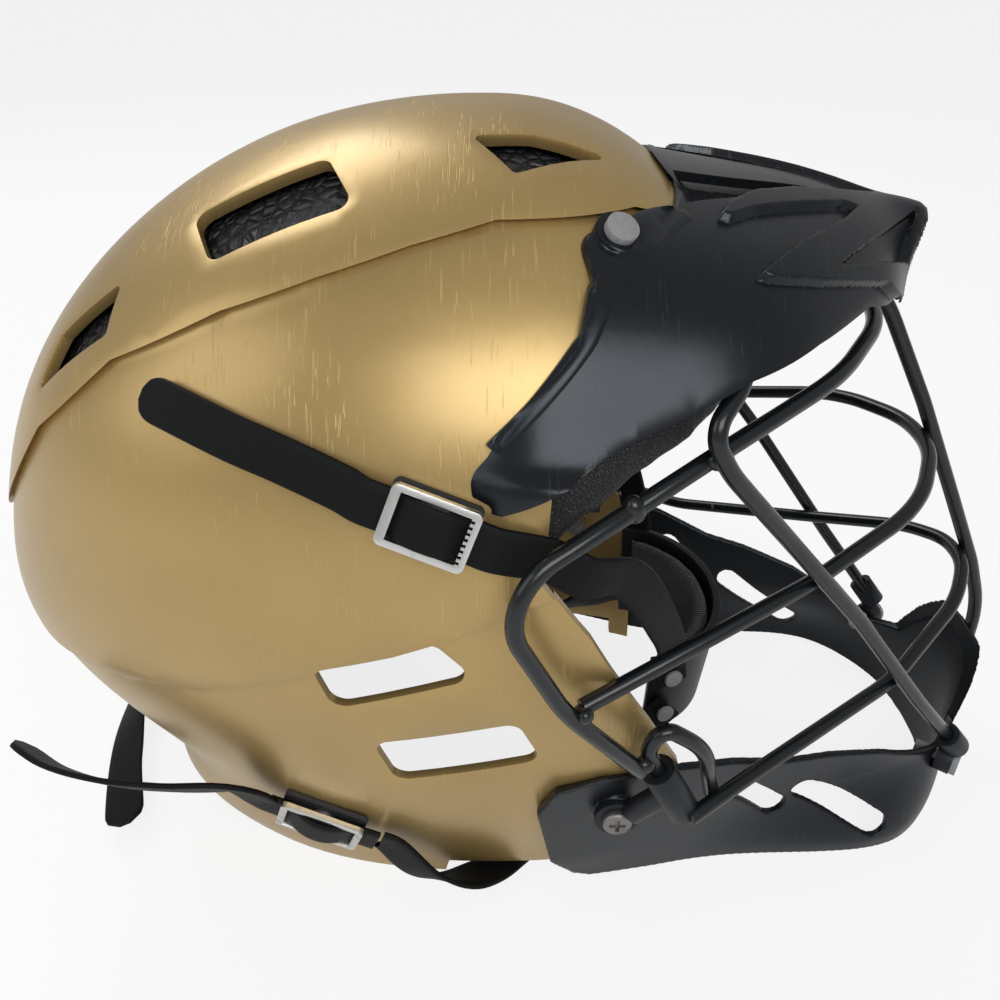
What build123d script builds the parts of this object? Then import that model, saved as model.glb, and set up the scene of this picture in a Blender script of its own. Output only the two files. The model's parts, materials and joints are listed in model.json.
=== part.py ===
from build123d import *
import math
import os

# Lacrosse helmet. X points forward, Y to the wearer's left, Z up.
# The model is laid out from the ear line on the floor, then moved so that
# the origin is the middle of its footprint.

# Overall sizes, in millimetres
crown_height = 262.5
rear_reach = 170.0
brow_reach = 112.0
guard_reach = 210.0
half_width = 106.0
nape_reach = 122.0
rim_half_width = 76.0
longest_level = 104.0
widest_level = 150.0
overrun = 6.0
seat_gap = 0.3

# Shell mouldings
shell_wall = 3.0
dome_step = 2.0
crown_step = 1.5
front_power = 2.6
rear_power = 2.2
section_points = 4
lower_level_shares = (0.35, 0.7, 1.0)
upper_level_shares = (0.26, 0.5, 0.707, 0.866, 0.966, 0.9985)
vent_radius = 4.0
jaw_vent_radius = 5.0
vent_depth = 30.0

# Liner and pads
foam_gap = 0.4
foam_thickness = 13.0
pad_gap = 0.8
pad_thickness = 14.0

# Visor
visor_wall = 2.8
visor_base_share = 0.571
visor_power = 2.3
visor_clearance = 0.4
crease_margin = 0.006
visor_seat_diameter = 13.0
visor_seat_height = 3.6
rivet_tail = 5.0
rivet_head_diameter = 9.0
rivet_head_height = 2.4
rivet_shank_diameter = 5.0

# Face cage
wire_diameter = 5.2
largest_bend = 70.0
bend_share = 0.45

# Chin guard
guard_wall = 3.2
guard_foot_reach = 196.0
guard_foot_half_width = 84.0
guard_top_reach = 208.0
guard_top_half_width = 101.0
guard_height = 84.0
slot_width = 10.0

# Clips, screws and rivets
clip_diameter = 11.0
clip_plate = 2.4
barrel_start_share = 0.1
barrel_end_share = 0.72
arm_reach = 5.0
arm_rise = 4.0
clip_arm = 8.0
screw_well = 11.0
screw_grip = 13.0
fit_gap = 0.1
screw_head_diameter = 10.0
screw_head_height = 2.6
screw_shank_diameter = 4.8
drive_width = 1.4
drive_length = 5.6
drive_depth = 1.5
boss_diameter = 15.0
nut_across = 9.0
nut_height = 3.2
chin_rivet_diameter = 11.0
chin_rivet_height = 2.2
chin_clip_diameter = 10.0
chin_clip_width = 12.0
chin_lug_height = 6.0

# Chin strap hardware
strap_thickness = 2.0
upper_strap_width = 12.7
lower_strap_width = 15.9
buckle_plate = 1.6
buckle_rail = 1.9
buckle_bar = 2.6
centre_bar_width = 8.0
upper_buckle_length = 24.0
lower_buckle_length = 30.0
buckle_dip = 0.5
buckle_lean = 22.0
lower_lean = 18.0
teeth = 8
tooth_depth = 1.0
strap_clearance = 0.3
strap_slack = 0.15
strap_gap = 1.9
strap_lead = 3.0
socket_diameter = 12.4
socket_height = 4.0
socket_roof = 0.6
socket_lip = 1.5
stud_head_diameter = 7.4
stud_neck_diameter = 5.6
stud_height = 3.4
stud_head_height = 1.3
stud_shank_diameter = 4.0
bore_gap = 0.1
washer_diameter = 12.0
washer_height = 1.4
washer_seat = 0.4
stud_seat = 0.25
pocket_gap = 0.8
backing_thickness = 1.5
backing_margin = 0.4
visor_notch = 1.4

# Chin cup
cup_wall = 3.0
cup_pad_thickness = 7.0
cup_centre = 58.0
cup_wing_front = 62.0
cup_foot = 38.0
cup_height = 42.0
cup_foot_reach = 34.0
cup_foot_half_width = 40.0
cup_top_reach = 38.0
cup_top_half_width = 46.0
cup_hole_width = 34.0
cup_hole_height = 13.0
cup_rivet_diameter = 7.0
cup_rivet_height = 1.2
rivet_hole_diameter = 3.2
cup_grip = 4.4


def at(x_share, y_share, z_share):
    """A place in shares of the reach, half width and height of the helmet."""
    reach = guard_reach if x_share > 0 else rear_reach
    return Vector(reach * x_share, half_width * y_share, crown_height * z_share)


def rear_at(level):
    """Rear reach of the shell at one level."""
    if level >= longest_level:
        rise = (level - longest_level) / (crown_height - longest_level)
        return rear_reach * math.sqrt(max(0, 1 - rise**2))
    drop = min(1, (longest_level - level) / longest_level)
    return rear_reach - (rear_reach - nape_reach) * math.sin(math.pi / 2 * drop) ** 1.5


def front_at(level):
    """Front reach of the shell at one level."""
    if level < longest_level:
        return brow_reach
    rise = (level - longest_level) / (crown_height - longest_level)
    return brow_reach * math.sqrt(max(0, 1 - rise**2))


def side_at(level):
    """Half width of the shell at one level."""
    if level >= widest_level:
        rise = (level - widest_level) / (crown_height - widest_level)
        return half_width * math.sqrt(max(0, 1 - rise**2))
    drop = (widest_level - level) / widest_level
    return half_width - (half_width - rim_half_width) * drop**1.6


def skin_side(x, z, offset):
    """Distance of the shell's side from the centre plane, offset outwards."""
    power = front_power if x > 0 else rear_power
    reach = (front_at(z) if x > 0 else rear_at(z)) + offset
    share = min(0.999, abs(x) / reach)
    return (side_at(z) + offset) * (1 - share**power) ** (1 / power)


def on_skin(x, z, offset, side=-1):
    """A place at one distance off the skin of the shell's side."""
    return Vector(x, side * skin_side(x, z, offset), z)


def skin_normal(x, z, side=-1):
    """Outward direction of the shell's side."""
    step = half_width / 200
    along_x = (skin_side(x + step, z, 0) - skin_side(x - step, z, 0)) / (2 * step)
    along_z = (skin_side(x, z + step, 0) - skin_side(x, z - step, 0)) / (2 * step)
    return Vector(-along_x, side, -along_z).normalized()


def egg_section(level, rear, front, half, back_power, nose_power):
    """One closed horizontal outline of the head shape."""
    points = []
    count = 4 * section_points
    for index in range(count):
        angle = 2 * math.pi * index / count
        c = math.cos(angle)
        s = math.sin(angle)
        power = nose_power if c > 0 else back_power
        reach = front if c > 0 else rear
        x = math.copysign(reach * abs(c) ** (2 / power), c)
        y = math.copysign(half * abs(s) ** (2 / power), s)
        points.append((x, y, level))
    return make_face(Spline(*points, periodic=True))


def head_form(offset, floor=0.0):
    """The head shape of the shell, grown or shrunk by one offset."""
    levels = [floor]
    levels += [longest_level * share for share in lower_level_shares]
    rise = crown_height - longest_level
    levels += [longest_level + rise * share for share in upper_level_shares]
    sections = []
    for level in levels:
        lift = offset * max(0, (level - longest_level) / rise)
        sections.append(
            egg_section(
                level + lift,
                rear_at(level) + offset,
                front_at(level) + offset,
                side_at(level) + offset,
                rear_power,
                front_power,
            )
        )
    return loft(sections)


def side_prism(points):
    """A block cut to an outline seen from the side, across the whole helmet."""
    outline = Polyline(*[(p.X, 0, p.Z) for p in points], close=True)
    return extrude(make_face(outline), 2 * half_width, both=True)


def mirrored(solid):
    """The same piece on the other side of the centre plane."""
    return mirror(solid, about=Plane.XZ)


def window(corners, radius, depth):
    """A rounded cutter through the skin, square to the plane of its corners."""
    middle = sum(corners, Vector()) / len(corners)
    along = (corners[1] - corners[0]).normalized()
    normal = along.cross(corners[-1] - corners[0]).normalized()
    plane = Plane(origin=middle, x_dir=along, z_dir=normal)
    flat = [plane.to_local_coords(corner) for corner in corners]
    face = make_face(Polyline(*[(p.X, p.Y) for p in flat], close=True))
    face = fillet(face.vertices(), radius)
    return plane * extrude(face, depth, both=True)


def skin_window(shares, radius):
    """A vent cutter from shares of the reach and height, on both sides."""
    corners = []
    for x_share, z_share in shares:
        place = at(x_share, 0, z_share)
        corners.append(on_skin(place.X, place.Z, 0))
    cutter = window(corners, radius, vent_depth)
    return [cutter, mirrored(cutter)]


def bent_path(points):
    """Straight runs joined by arcs as wide as the runs allow."""
    radii = []
    for before, corner, after in zip(points, points[1:], points[2:]):
        run_in = corner - before
        run_out = after - corner
        turn = math.radians(run_in.get_angle(run_out))
        reach = bend_share * min(run_in.length, run_out.length)
        radii.append(min(largest_bend, reach / math.tan(turn / 2)))
    return FilletPolyline(*points, radius=radii)


def wire(points, diameter=wire_diameter):
    """A bent round wire along its points."""
    path = bent_path(points)
    start = Plane(origin=path @ 0, z_dir=path % 0)
    return sweep(start * Circle(diameter / 2), path=path)


def band(centres, normals, width, thickness):
    """A flat strap through its centres, facing its normals."""
    sections = []
    for index, centre in enumerate(centres):
        before = centres[max(0, index - 1)]
        after = centres[min(len(centres) - 1, index + 1)]
        along = (after - before).normalized()
        across = along.cross(normals[index]).normalized()
        plane = Plane(origin=centre, x_dir=across, z_dir=along)
        sections.append(plane * Rectangle(width, thickness))
    return loft(sections, ruled=True)


def local_plane(x, z, offset, side, lean):
    """A plane on the shell's skin, its X axis leaning down towards the front."""
    normal = skin_normal(x, z, side)
    forward = Vector(math.cos(lean), 0, -math.sin(lean))
    along = (forward - normal * forward.dot(normal)).normalized()
    return Plane(origin=on_skin(x, z, 0, side) + normal * offset, x_dir=along, z_dir=normal)


def post(plane, diameter, low, high):
    """A round post on a plane between two heights."""
    return plane * Pos(0, 0, low) * extrude(Circle(diameter / 2), high - low)


def local_box(plane, low, high):
    """A box on a plane between two corners."""
    size = Vector(*high) - Vector(*low)
    middle = (Vector(*high) + Vector(*low)) / 2
    return plane * Pos(middle.X, middle.Y, middle.Z) * Box(size.X, size.Y, size.Z)


def between(start, end, diameter):
    """A round bar from one place to another."""
    plane = Plane(origin=start, z_dir=end - start)
    return post(plane, diameter, 0, (end - start).length)


# Creases and openings seen from the side, in shares of reach and height
crown_crease_shares = (
    (-1.06, 0.457), (-0.771, 0.701), (-0.594, 0.796), (-0.394, 0.857), (-0.241, 0.891),
    (-0.1, 0.918), (0.024, 0.937), (0.2, 0.937), (0.381, 0.895), (0.571, 0.762),
)
dome_crease_shares = (
    (-1.176, 0.366), (-0.694, 0.408), (-0.529, 0.427), (-0.294, 0.48), (-0.059, 0.545),
    (0.105, 0.602), (0.286, 0.648), (0.619, 0.667),
)
face_shares = (
    (0.081, 0.617), (0.09, 0.709), (0.162, 0.747), (0.286, 0.785), (0.714, 0.808),
    (0.714, -0.1), (0.343, -0.1), (0.343, 0.114), (0.314, 0.267), (0.248, 0.381),
    (0.181, 0.484), (0.148, 0.537),
)
rim_arch_shares = ((-0.12, -0.1), (-0.08, 0.03), (0.3, 0.03), (0.3, -0.1))
rear_vent_shares = ((-0.771, 0.716), (-0.594, 0.804), (-0.576, 0.846), (-0.718, 0.777))
crown_vent_shares = ((-0.412, 0.876), (-0.182, 0.93), (-0.235, 0.96), (-0.459, 0.903))
front_vent_shares = ((0.043, 0.952), (0.176, 0.952), (0.067, 0.979), (-0.018, 0.979))
upper_jaw_vent_shares = ((-0.259, 0.423), (-0.006, 0.484), (-0.076, 0.537), (-0.288, 0.491))
lower_jaw_vent_shares = ((-0.165, 0.278), (0.09, 0.328), (0.052, 0.404), (-0.2, 0.358))


def between_lines(lower_shares, upper_shares):
    """A block between two crease lines seen from the side."""
    floor = [Vector(-2 * rear_reach, 0, -overrun), Vector(2 * guard_reach, 0, -overrun)]
    lower = [at(x, 0, z) for x, z in lower_shares] if lower_shares else floor
    ceiling = 2 * crown_height
    top = [Vector(lower[0].X, 0, ceiling), Vector(lower[-1].X, 0, ceiling)]
    upper = [at(x, 0, z) for x, z in upper_shares] if upper_shares else top
    return side_prism(lower + upper[::-1])


def shell_skin():
    """The wall of the shell in three moulded steps, jaw, dome and crown."""
    crown = dome_step + crown_step
    steps = (
        (0.0, between_lines(None, dome_crease_shares)),
        (dome_step, between_lines(dome_crease_shares, crown_crease_shares)),
        (crown, between_lines(crown_crease_shares, None)),
    )
    rings = []
    for grow, block in steps:
        ring = head_form(grow) - head_form(grow - shell_wall, -overrun)
        rings.append(ring & block)
    return rings[0].fuse(*rings[1:])


def outer_shell():
    """The moulded shell with its face opening and vents."""
    face = side_prism([at(x, 0, z) for x, z in face_shares])
    arch = side_prism([at(x, 0, z) for x, z in rim_arch_shares])
    cutters = [face, arch]
    cutters += skin_window(rear_vent_shares, vent_radius / 2)
    cutters += skin_window(crown_vent_shares, vent_radius)
    cutters += skin_window(front_vent_shares, vent_radius / 2)
    cutters += skin_window(upper_jaw_vent_shares, jaw_vent_radius)
    cutters += skin_window(lower_jaw_vent_shares, jaw_vent_radius)
    cutters += skin_holes()
    return shell_skin().cut(*cutters)


# Fastener places seen from the side
upper_stud_shares = (-0.071, 0.686)
lower_stud_shares = (-0.335, 0.16)
guard_screw_shares = (0.214, 0.21)
guard_seat_share = 0.885
visor_rivet_shares = (0.167, 0.907)


def fastener_plane(shares, offset, side, lean=0):
    """The plane of one fastener on the skin."""
    place = at(shares[0], 0, shares[1])
    return local_plane(place.X, place.Z, offset, side, lean)


def screw_plane(side):
    """The seat of one guard screw, facing sideways."""
    place = at(guard_screw_shares[0], guard_seat_share, guard_screw_shares[1])
    return Plane(origin=(place.X, side * place.Y, place.Z), z_dir=(0, side, 0))


def skin_holes():
    """Bores through the shell for studs, guard screws and visor rivets."""
    bores = []
    sizes = (
        (upper_stud_shares, stud_shank_diameter),
        (lower_stud_shares, stud_shank_diameter),
        (visor_rivet_shares, rivet_shank_diameter),
    )
    for shares, diameter in sizes:
        plane = fastener_plane(shares, 0, -1)
        bore = post(plane, diameter + 2 * bore_gap, -2 * overrun, 2 * overrun)
        bores += [bore, mirrored(bore)]
    screw = screw_plane(-1)
    bores.append(post(screw, screw_shank_diameter + 2 * bore_gap, -half_width * 2, 0))
    return bores


# Liner and pads seen from the side
liner_shares = (
    (-1.2, 0.6), (-0.6, 0.56), (-0.1, 0.6), (0.02, 0.83), (0.12, 0.86), (0.6, 0.88),
    (0.6, 1.1), (-1.2, 1.1),
)
brow_pad_shares = (
    (0.05, 0.59), (0.124, 0.65), (0.214, 0.7), (0.333, 0.735), (0.6, 0.75), (0.6, 0.85),
    (0.286, 0.835), (0.06, 0.81), (-0.03, 0.72), (-0.03, 0.62),
)
nape_pad_shares = ((-1.1, 0.22), (-0.42, 0.22), (-0.33, 0.35), (-0.33, 0.54), (-1.1, 0.57))
jaw_pad_shares = ((0.1, 0.26), (0.27, 0.26), (0.23, 0.36), (0.13, 0.5), (0.04, 0.5), (0.04, 0.42))


def crown_liner():
    """The bead foam liner under the dome."""
    grow = dome_step - shell_wall - foam_gap
    ring = head_form(grow) - head_form(grow - foam_thickness, -overrun)
    pockets = []
    fasteners = (
        (upper_stud_shares, washer_diameter, shell_wall + washer_height + washer_seat),
        (visor_rivet_shares, rivet_shank_diameter, shell_wall + rivet_tail),
    )
    for shares, diameter, depth in fasteners:
        plane = fastener_plane(shares, dome_step, -1)
        pocket = post(plane, diameter + 2 * pocket_gap, -depth - pocket_gap, overrun)
        pockets += [pocket, mirrored(pocket)]
    liner = ring & side_prism([at(x, 0, z) for x, z in liner_shares])
    return liner.cut(*pockets)


def inner_pads():
    """The brow, nape and jaw pads, each lying inside the shell."""
    grow = -shell_wall - pad_gap
    ring = head_form(grow) - head_form(grow - pad_thickness, -overrun)
    outlines = (brow_pad_shares, nape_pad_shares, jaw_pad_shares)
    return [ring & side_prism([at(x, 0, z) for x, z in shares]) for shares in outlines]


# Visor stations along its length and its outline seen from the side
visor_station_shares = (
    (-0.08, 1.03, 0.983), (0.048, 1.036, 0.98), (0.167, 1.05, 0.964), (0.271, 1.045, 0.949),
    (0.333, 1.028, 0.941), (0.429, 0.901, 0.93), (0.529, 0.651, 0.914), (0.614, 0.321, 0.895),
    (0.69, 0.17, 0.88),
)
visor_outline_shares = (
    (0.205, 1.03), (0.205, 0.99), (0.276, 0.937), (0.229, 0.914), (0.162, 0.907),
    (0.133, 0.884), (0.119, 0.842), (0.062, 0.796), (0.005, 0.754), (-0.047, 0.722),
    (-0.012, 0.701), (0.029, 0.701), (0.095, 0.731), (0.167, 0.758), (0.257, 0.785),
    (0.333, 0.808), (0.429, 0.823), (0.529, 0.83), (0.571, 0.819), (0.61, 0.811),
    (0.638, 0.846), (0.676, 0.888), (0.68, 1.03),
)


def visor_arch(shrink):
    """The arched form of the visor, lofted from the temples to the peak."""
    sections = []
    base = crown_height * visor_base_share
    for x_share, y_share, z_share in visor_station_shares:
        place = at(x_share, y_share, z_share)
        half = place.Y - shrink
        rise = place.Z - base - shrink
        points = []
        for index in range(2 * section_points + 1):
            angle = math.pi * index / (2 * section_points)
            c = math.cos(angle)
            y = math.copysign(half * abs(c) ** (2 / visor_power), c)
            z = rise * abs(math.sin(angle)) ** (2 / visor_power)
            points.append((y, z))
        arch = Spline(*points, tangents=((0, 1), (0, -1)))
        plane = Plane(origin=(place.X, 0, base), x_dir=(0, 1, 0), z_dir=(1, 0, 0))
        sections.append(plane * make_face([arch, Line(arch @ 1, arch @ 0)]))
    return loft(sections)


def buckle_notch(side):
    """The room that the visor's rear tip leaves round the upper backing pad."""
    plane = fastener_plane(upper_stud_shares, dome_step, side, math.radians(buckle_lean))
    grow = backing_margin + 2 * visor_notch
    width = upper_strap_width + 2 * (strap_clearance + buckle_rail)
    outline = RectangleRounded(upper_buckle_length + grow, width + grow, buckle_rail)
    return plane * Pos(0, 0, -overrun) * extrude(outline, 3 * overrun)


def visor():
    """The moulded visor: side wings that hug the shell and a long peak."""
    skin = head_form(dome_step + visor_clearance)
    crown = head_form(dome_step + crown_step + visor_clearance)
    crown &= between_lines([(x, z - crease_margin) for x, z in crown_crease_shares], None)
    outline = side_prism([at(x, 0, z) for x, z in visor_outline_shares])
    peak = visor_arch(0).cut(visor_arch(visor_wall), skin, crown) & outline
    bores = []
    for side in (-1, 1):
        plane = fastener_plane(visor_rivet_shares, dome_step, side)
        low = visor_clearance + fit_gap
        peak += post(plane, visor_seat_diameter, low, visor_seat_height)
        shank = rivet_shank_diameter + 2 * bore_gap
        bores.append(post(plane, shank, -overrun, 2 * overrun))
        bores.append(post(plane, visor_seat_diameter, visor_seat_height, 3 * overrun))
        bores.append(buckle_notch(side))
    return peak.cut(*bores)


def visor_rivets():
    """Round-headed push rivets through the visor and the shell."""
    rivets = []
    grip = shell_wall + rivet_tail
    for side in (-1, 1):
        plane = fastener_plane(visor_rivet_shares, dome_step, side)
        seat = visor_seat_height + fit_gap / 2
        head = post(plane, rivet_head_diameter, seat, seat + rivet_head_height)
        shank = post(plane, rivet_shank_diameter, -grip, seat)
        rivets.append(head + shank)
    return rivets


# Cage wires, in shares of reach, half width and height
side_bar_shares = (
    (0.31, -0.61, 0.85), (0.34, -0.755, 0.807), (0.283, -0.89, 0.764),
    (0.314, -0.868, 0.716), (0.429, -0.755, 0.602), (0.586, -0.642, 0.45),
    (0.757, -0.528, 0.267), (0.886, -0.434, 0.137),
)
rear_bar_shares = (
    (0.233, -1.0, 0.343), (0.114, -1.065, 0.463), (0.014, -1.142, 0.638), (0.19, -0.972, 0.699),
)
brow_hoop_shares = (
    (0.19, -0.972, 0.699), (0.305, -0.825, 0.728), (0.495, -0.547, 0.762), (0.614, -0.189, 0.777),
)
eye_hoop_shares = (
    (0.138, -1.038, 0.461), (0.492, -0.664, 0.514), (0.695, -0.415, 0.56), (0.768, -0.113, 0.575),
)
mouth_hoop_shares = (
    (0.317, -0.991, 0.255), (0.448, -0.802, 0.255), (0.705, -0.514, 0.301),
    (0.857, -0.245, 0.354), (0.9, -0.075, 0.373),
)
centre_bar_shares = (
    (0.524, 0, 0.869), (0.652, 0, 0.777), (0.762, 0, 0.625), (0.862, 0, 0.472),
    (0.938, 0, 0.354), (0.981, 0, 0.267), (0.986, 0, 0.16),
)
end_loop_shares = (
    (0.319, -0.943, 0.236), (0.238, -0.981, 0.37), (0.262, -0.981, 0.406),
    (0.329, -0.953, 0.36), (0.362, -0.885, 0.251),
)


def places(shares):
    """The places named by a table of shares."""
    return [at(*share) for share in shares]


def hoop_places(shares):
    """A hoop from the right side through the centre to the left side."""
    half = places(shares)
    return half + [Vector(p.X, -p.Y, p.Z) for p in reversed(half)]


def cage_wires():
    """Every wire of the face cage by its name."""
    wires = {
        "brow_hoop": wire(hoop_places(brow_hoop_shares)),
        "eye_hoop": wire(hoop_places(eye_hoop_shares)),
        "mouth_hoop": wire(hoop_places(mouth_hoop_shares)),
        "centre_bar": wire(places(centre_bar_shares)),
        "right_side_bar": wire(places(side_bar_shares)),
        "right_rear_bar": wire(places(rear_bar_shares)),
        "right_end_loop": wire(places(end_loop_shares)),
    }
    for name in ("side_bar", "rear_bar", "end_loop"):
        wires["left_" + name] = mirrored(wires["right_" + name])
    return wires


def guard_form(grow, floor=0.0):
    """The filled form of the chin guard, grown or shrunk by one offset."""
    sections = []
    for level in (floor, guard_height):
        share = level / guard_height
        reach = guard_foot_reach + (guard_top_reach - guard_foot_reach) * share + grow
        half = guard_foot_half_width + grow
        half += (guard_top_half_width - guard_foot_half_width) * share
        side = [(reach * x, half * y) for x, y in guard_plan_shares]
        other = [(x, -y) for x, y in side[:-1]]
        edge = Spline(*other, *reversed(side))
        face = make_face([edge, Line(edge @ 1, edge @ 0)])
        sections.append(Pos(0, 0, level) * face)
    return loft(sections)


guard_plan_shares = (
    (-0.2, 1.02), (0.12, 1.0), (0.3, 0.91), (0.5, 0.79), (0.7, 0.665), (0.9, 0.48),
    (0.985, 0.22), (1.0, 0.0),
)
guard_outline_shares = (
    (0.19, 0), (1.024, 0), (1.024, 0.236), (0.967, 0.229), (0.943, 0.19), (0.914, 0.13),
    (0.871, 0.114), (0.81, 0.137), (0.71, 0.179), (0.6, 0.206), (0.519, 0.217),
    (0.41, 0.251), (0.286, 0.274), (0.186, 0.282), (0.114, 0.267), (0.086, 0.221),
    (0.114, 0.084), (0.157, 0.015),
)
guard_slots_shares = (((0.414, 0.202), (0.533, 0.099)), ((0.552, 0.145), (0.743, 0.038)))


def slot_cutter(ends):
    """A long slot through both sides of the chin guard."""
    start = at(ends[0][0], 0, ends[0][1])
    end = at(ends[1][0], 0, ends[1][1])
    run = end - start
    plane = Plane(origin=(start + end) / 2, x_dir=run, z_dir=(0, -1, 0))
    outline = SlotCenterToCenter(run.length - slot_width, slot_width)
    return plane * extrude(outline, 2 * half_width, both=True)


def chin_guard():
    """The chin guard wrapping the jaw and the front of the cage."""
    outline = side_prism([at(x, 0, z) for x, z in guard_outline_shares])
    skin = head_form(seat_gap, -overrun)
    wall = guard_form(0).cut(guard_form(-guard_wall, -overrun)) & outline
    bosses = []
    bores = []
    for side in (-1, 1):
        plane = screw_plane(side)
        bosses.append(post(plane, boss_diameter, -2 * overrun, 0))
        bores.append(post(plane, screw_shank_diameter + 2 * bore_gap, -4 * overrun, overrun))
        rivet = chin_plane(side)
        bores.append(post(rivet, rivet_shank_diameter + 2 * bore_gap, -3 * overrun, overrun))
    bores += [slot_cutter(ends) for ends in guard_slots_shares]
    return wall.fuse(*bosses).cut(skin, *bores)


chin_rivet_shares = (0.867, 0.406, 0.107)
chin_rivet_turn = 37.0


def chin_plane(side):
    """The seat of one chin clip on the guard."""
    place = at(*chin_rivet_shares)
    turn = math.radians(chin_rivet_turn)
    normal = (math.cos(turn), side * math.sin(turn), 0)
    return Plane(origin=(place.X, side * place.Y, place.Z), z_dir=normal)


def drive_cross(plane, top):
    """The cross drive of a screw head, open at its top."""
    low = (-drive_length / 2, -drive_width / 2, top - drive_depth)
    high = (drive_length / 2, drive_width / 2, top + drive_depth)
    across = local_box(plane, low, high)
    low = (-drive_width / 2, -drive_length / 2, top - drive_depth)
    high = (drive_width / 2, drive_length / 2, top + drive_depth)
    return [across, local_box(plane, low, high)]


def clip_screws():
    """Cross-headed screws through the side clips, the guard and the shell."""
    screws = []
    for side in (-1, 1):
        plane = screw_plane(side)
        seat = clip_plate + fit_gap
        top = seat + screw_head_height
        head = post(plane, screw_head_diameter, seat, top)
        head = fillet(head.edges().sort_by(Axis.Y)[0 if side < 0 else -1], screw_head_height / 2)
        shank = post(plane, screw_shank_diameter, -screw_grip, seat)
        screws.append((head + shank).cut(*drive_cross(plane, top)))
    return screws


def clip_nuts():
    """Hexagon nuts on the guard screws, inside the shell."""
    nuts = []
    for side in (-1, 1):
        plane = screw_plane(side)
        hexagon = RegularPolygon(nut_across / 2, 6, major_radius=False)
        nut = plane * Pos(0, 0, -screw_grip) * extrude(hexagon, nut_height)
        nuts.append(nut - post(plane, screw_shank_diameter + fit_gap, -2 * screw_grip, 0))
    return nuts


def side_clips(wires):
    """Moulded clips that hold the ends of the cage to the guard screws."""
    clips = {}
    for side, name in ((-1, "right"), (1, "left")):
        plane = screw_plane(side)
        leg = places(end_loop_shares)[:2]
        foot, head = [Vector(p.X, -side * p.Y, p.Z) for p in leg]
        start = foot + (head - foot) * barrel_start_share
        end = foot + (head - foot) * barrel_end_share
        barrel = between(start, end, clip_diameter)
        seat = post(plane, boss_diameter, fit_gap / 2, clip_plate)
        middle = (start + end) / 2
        arm = between(plane.origin + Vector(arm_reach, side * clip_plate, arm_rise), middle, clip_arm)
        shank = post(plane, screw_shank_diameter + 2 * bore_gap, -overrun, overrun)
        well = post(plane, screw_well, clip_plate, 2 * overrun)
        guard = post(plane, 3 * boss_diameter, -2 * overrun, fit_gap / 2)
        clip = barrel.fuse(seat, arm).cut(shank, well, guard, *wires[name])
        clips[name] = clip
    return clips


def chin_clips(wires, guard):
    """Clips that hold the lower ends of the side bars to the chin guard."""
    clips = []
    for side in (-1, 1):
        plane = chin_plane(side)
        lug = post(plane, chin_clip_width, 0, chin_lug_height)
        tip, before = [Vector(p.X, -side * p.Y, p.Z) for p in places(side_bar_shares)[:-3:-1]]
        along = (before - tip).normalized()
        ring = between(tip - along * fit_gap, tip + along * chin_clip_width, chin_clip_diameter)
        shank = post(plane, rivet_shank_diameter + 2 * bore_gap, -overrun, 3 * overrun)
        clips.append(lug.fuse(ring).cut(shank, guard, wires["right" if side < 0 else "left"]))
    return clips


def chin_rivets():
    """Flat grey rivets through the chin clips and the guard."""
    rivets = []
    for side in (-1, 1):
        plane = chin_plane(side)
        seat = chin_lug_height + fit_gap
        head = post(plane, chin_rivet_diameter, seat, seat + chin_rivet_height)
        shank = post(plane, rivet_shank_diameter, -2 * guard_wall - chin_rivet_height, seat)
        rivets.append(head + shank)
    return rivets


# Chin strap
def snap_studs():
    """Snap studs riveted through the shell, upper pair first."""
    studs = []
    for shares, step in ((upper_stud_shares, dome_step), (lower_stud_shares, 0.0)):
        for side in (-1, 1):
            plane = fastener_plane(shares, step, side)
            neck_top = stud_height - stud_head_height
            shank = post(plane, stud_shank_diameter, -shell_wall - washer_height - bore_gap, 0)
            neck = post(plane, stud_neck_diameter, stud_seat, neck_top)
            head = post(plane, stud_head_diameter, neck_top, stud_height)
            joint = post(plane, stud_shank_diameter, -bore_gap, 2 * stud_seat)
            studs.append(shank.fuse(joint, neck, head))
    return studs


def stud_washers():
    """Washers under the studs, inside the shell."""
    washers = []
    for shares, step in ((upper_stud_shares, dome_step), (lower_stud_shares, 0.0)):
        for side in (-1, 1):
            plane = fastener_plane(shares, step, side)
            low = -shell_wall - washer_height - washer_seat
            ring = post(plane, washer_diameter, low, low + washer_height)
            washers.append(ring - post(plane, stud_shank_diameter + fit_gap, 2 * low, 0))
    return washers


def snap_socket(plane):
    """A snap socket with a lip that grips the head of its stud."""
    body = post(plane, socket_diameter, seat_gap, seat_gap + socket_height)
    neck = stud_neck_diameter + 2 * strap_clearance
    mouth = post(plane, neck, 0, socket_height)
    roof = seat_gap + socket_height - socket_roof
    room = post(plane, stud_head_diameter + 2 * strap_clearance, socket_lip, roof)
    return body.cut(mouth & post(plane, neck, 0, roof), room)


def backing_pad(plane, length, width):
    """A rubber pad behind the buckle, with a hole for the socket."""
    outline = RectangleRounded(length + backing_margin, width + backing_margin, buckle_rail)
    pad = plane * Pos(0, 0, seat_gap) * extrude(outline, backing_thickness)
    return pad - post(plane, socket_diameter + 2 * strap_clearance, 0, socket_height)


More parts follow.
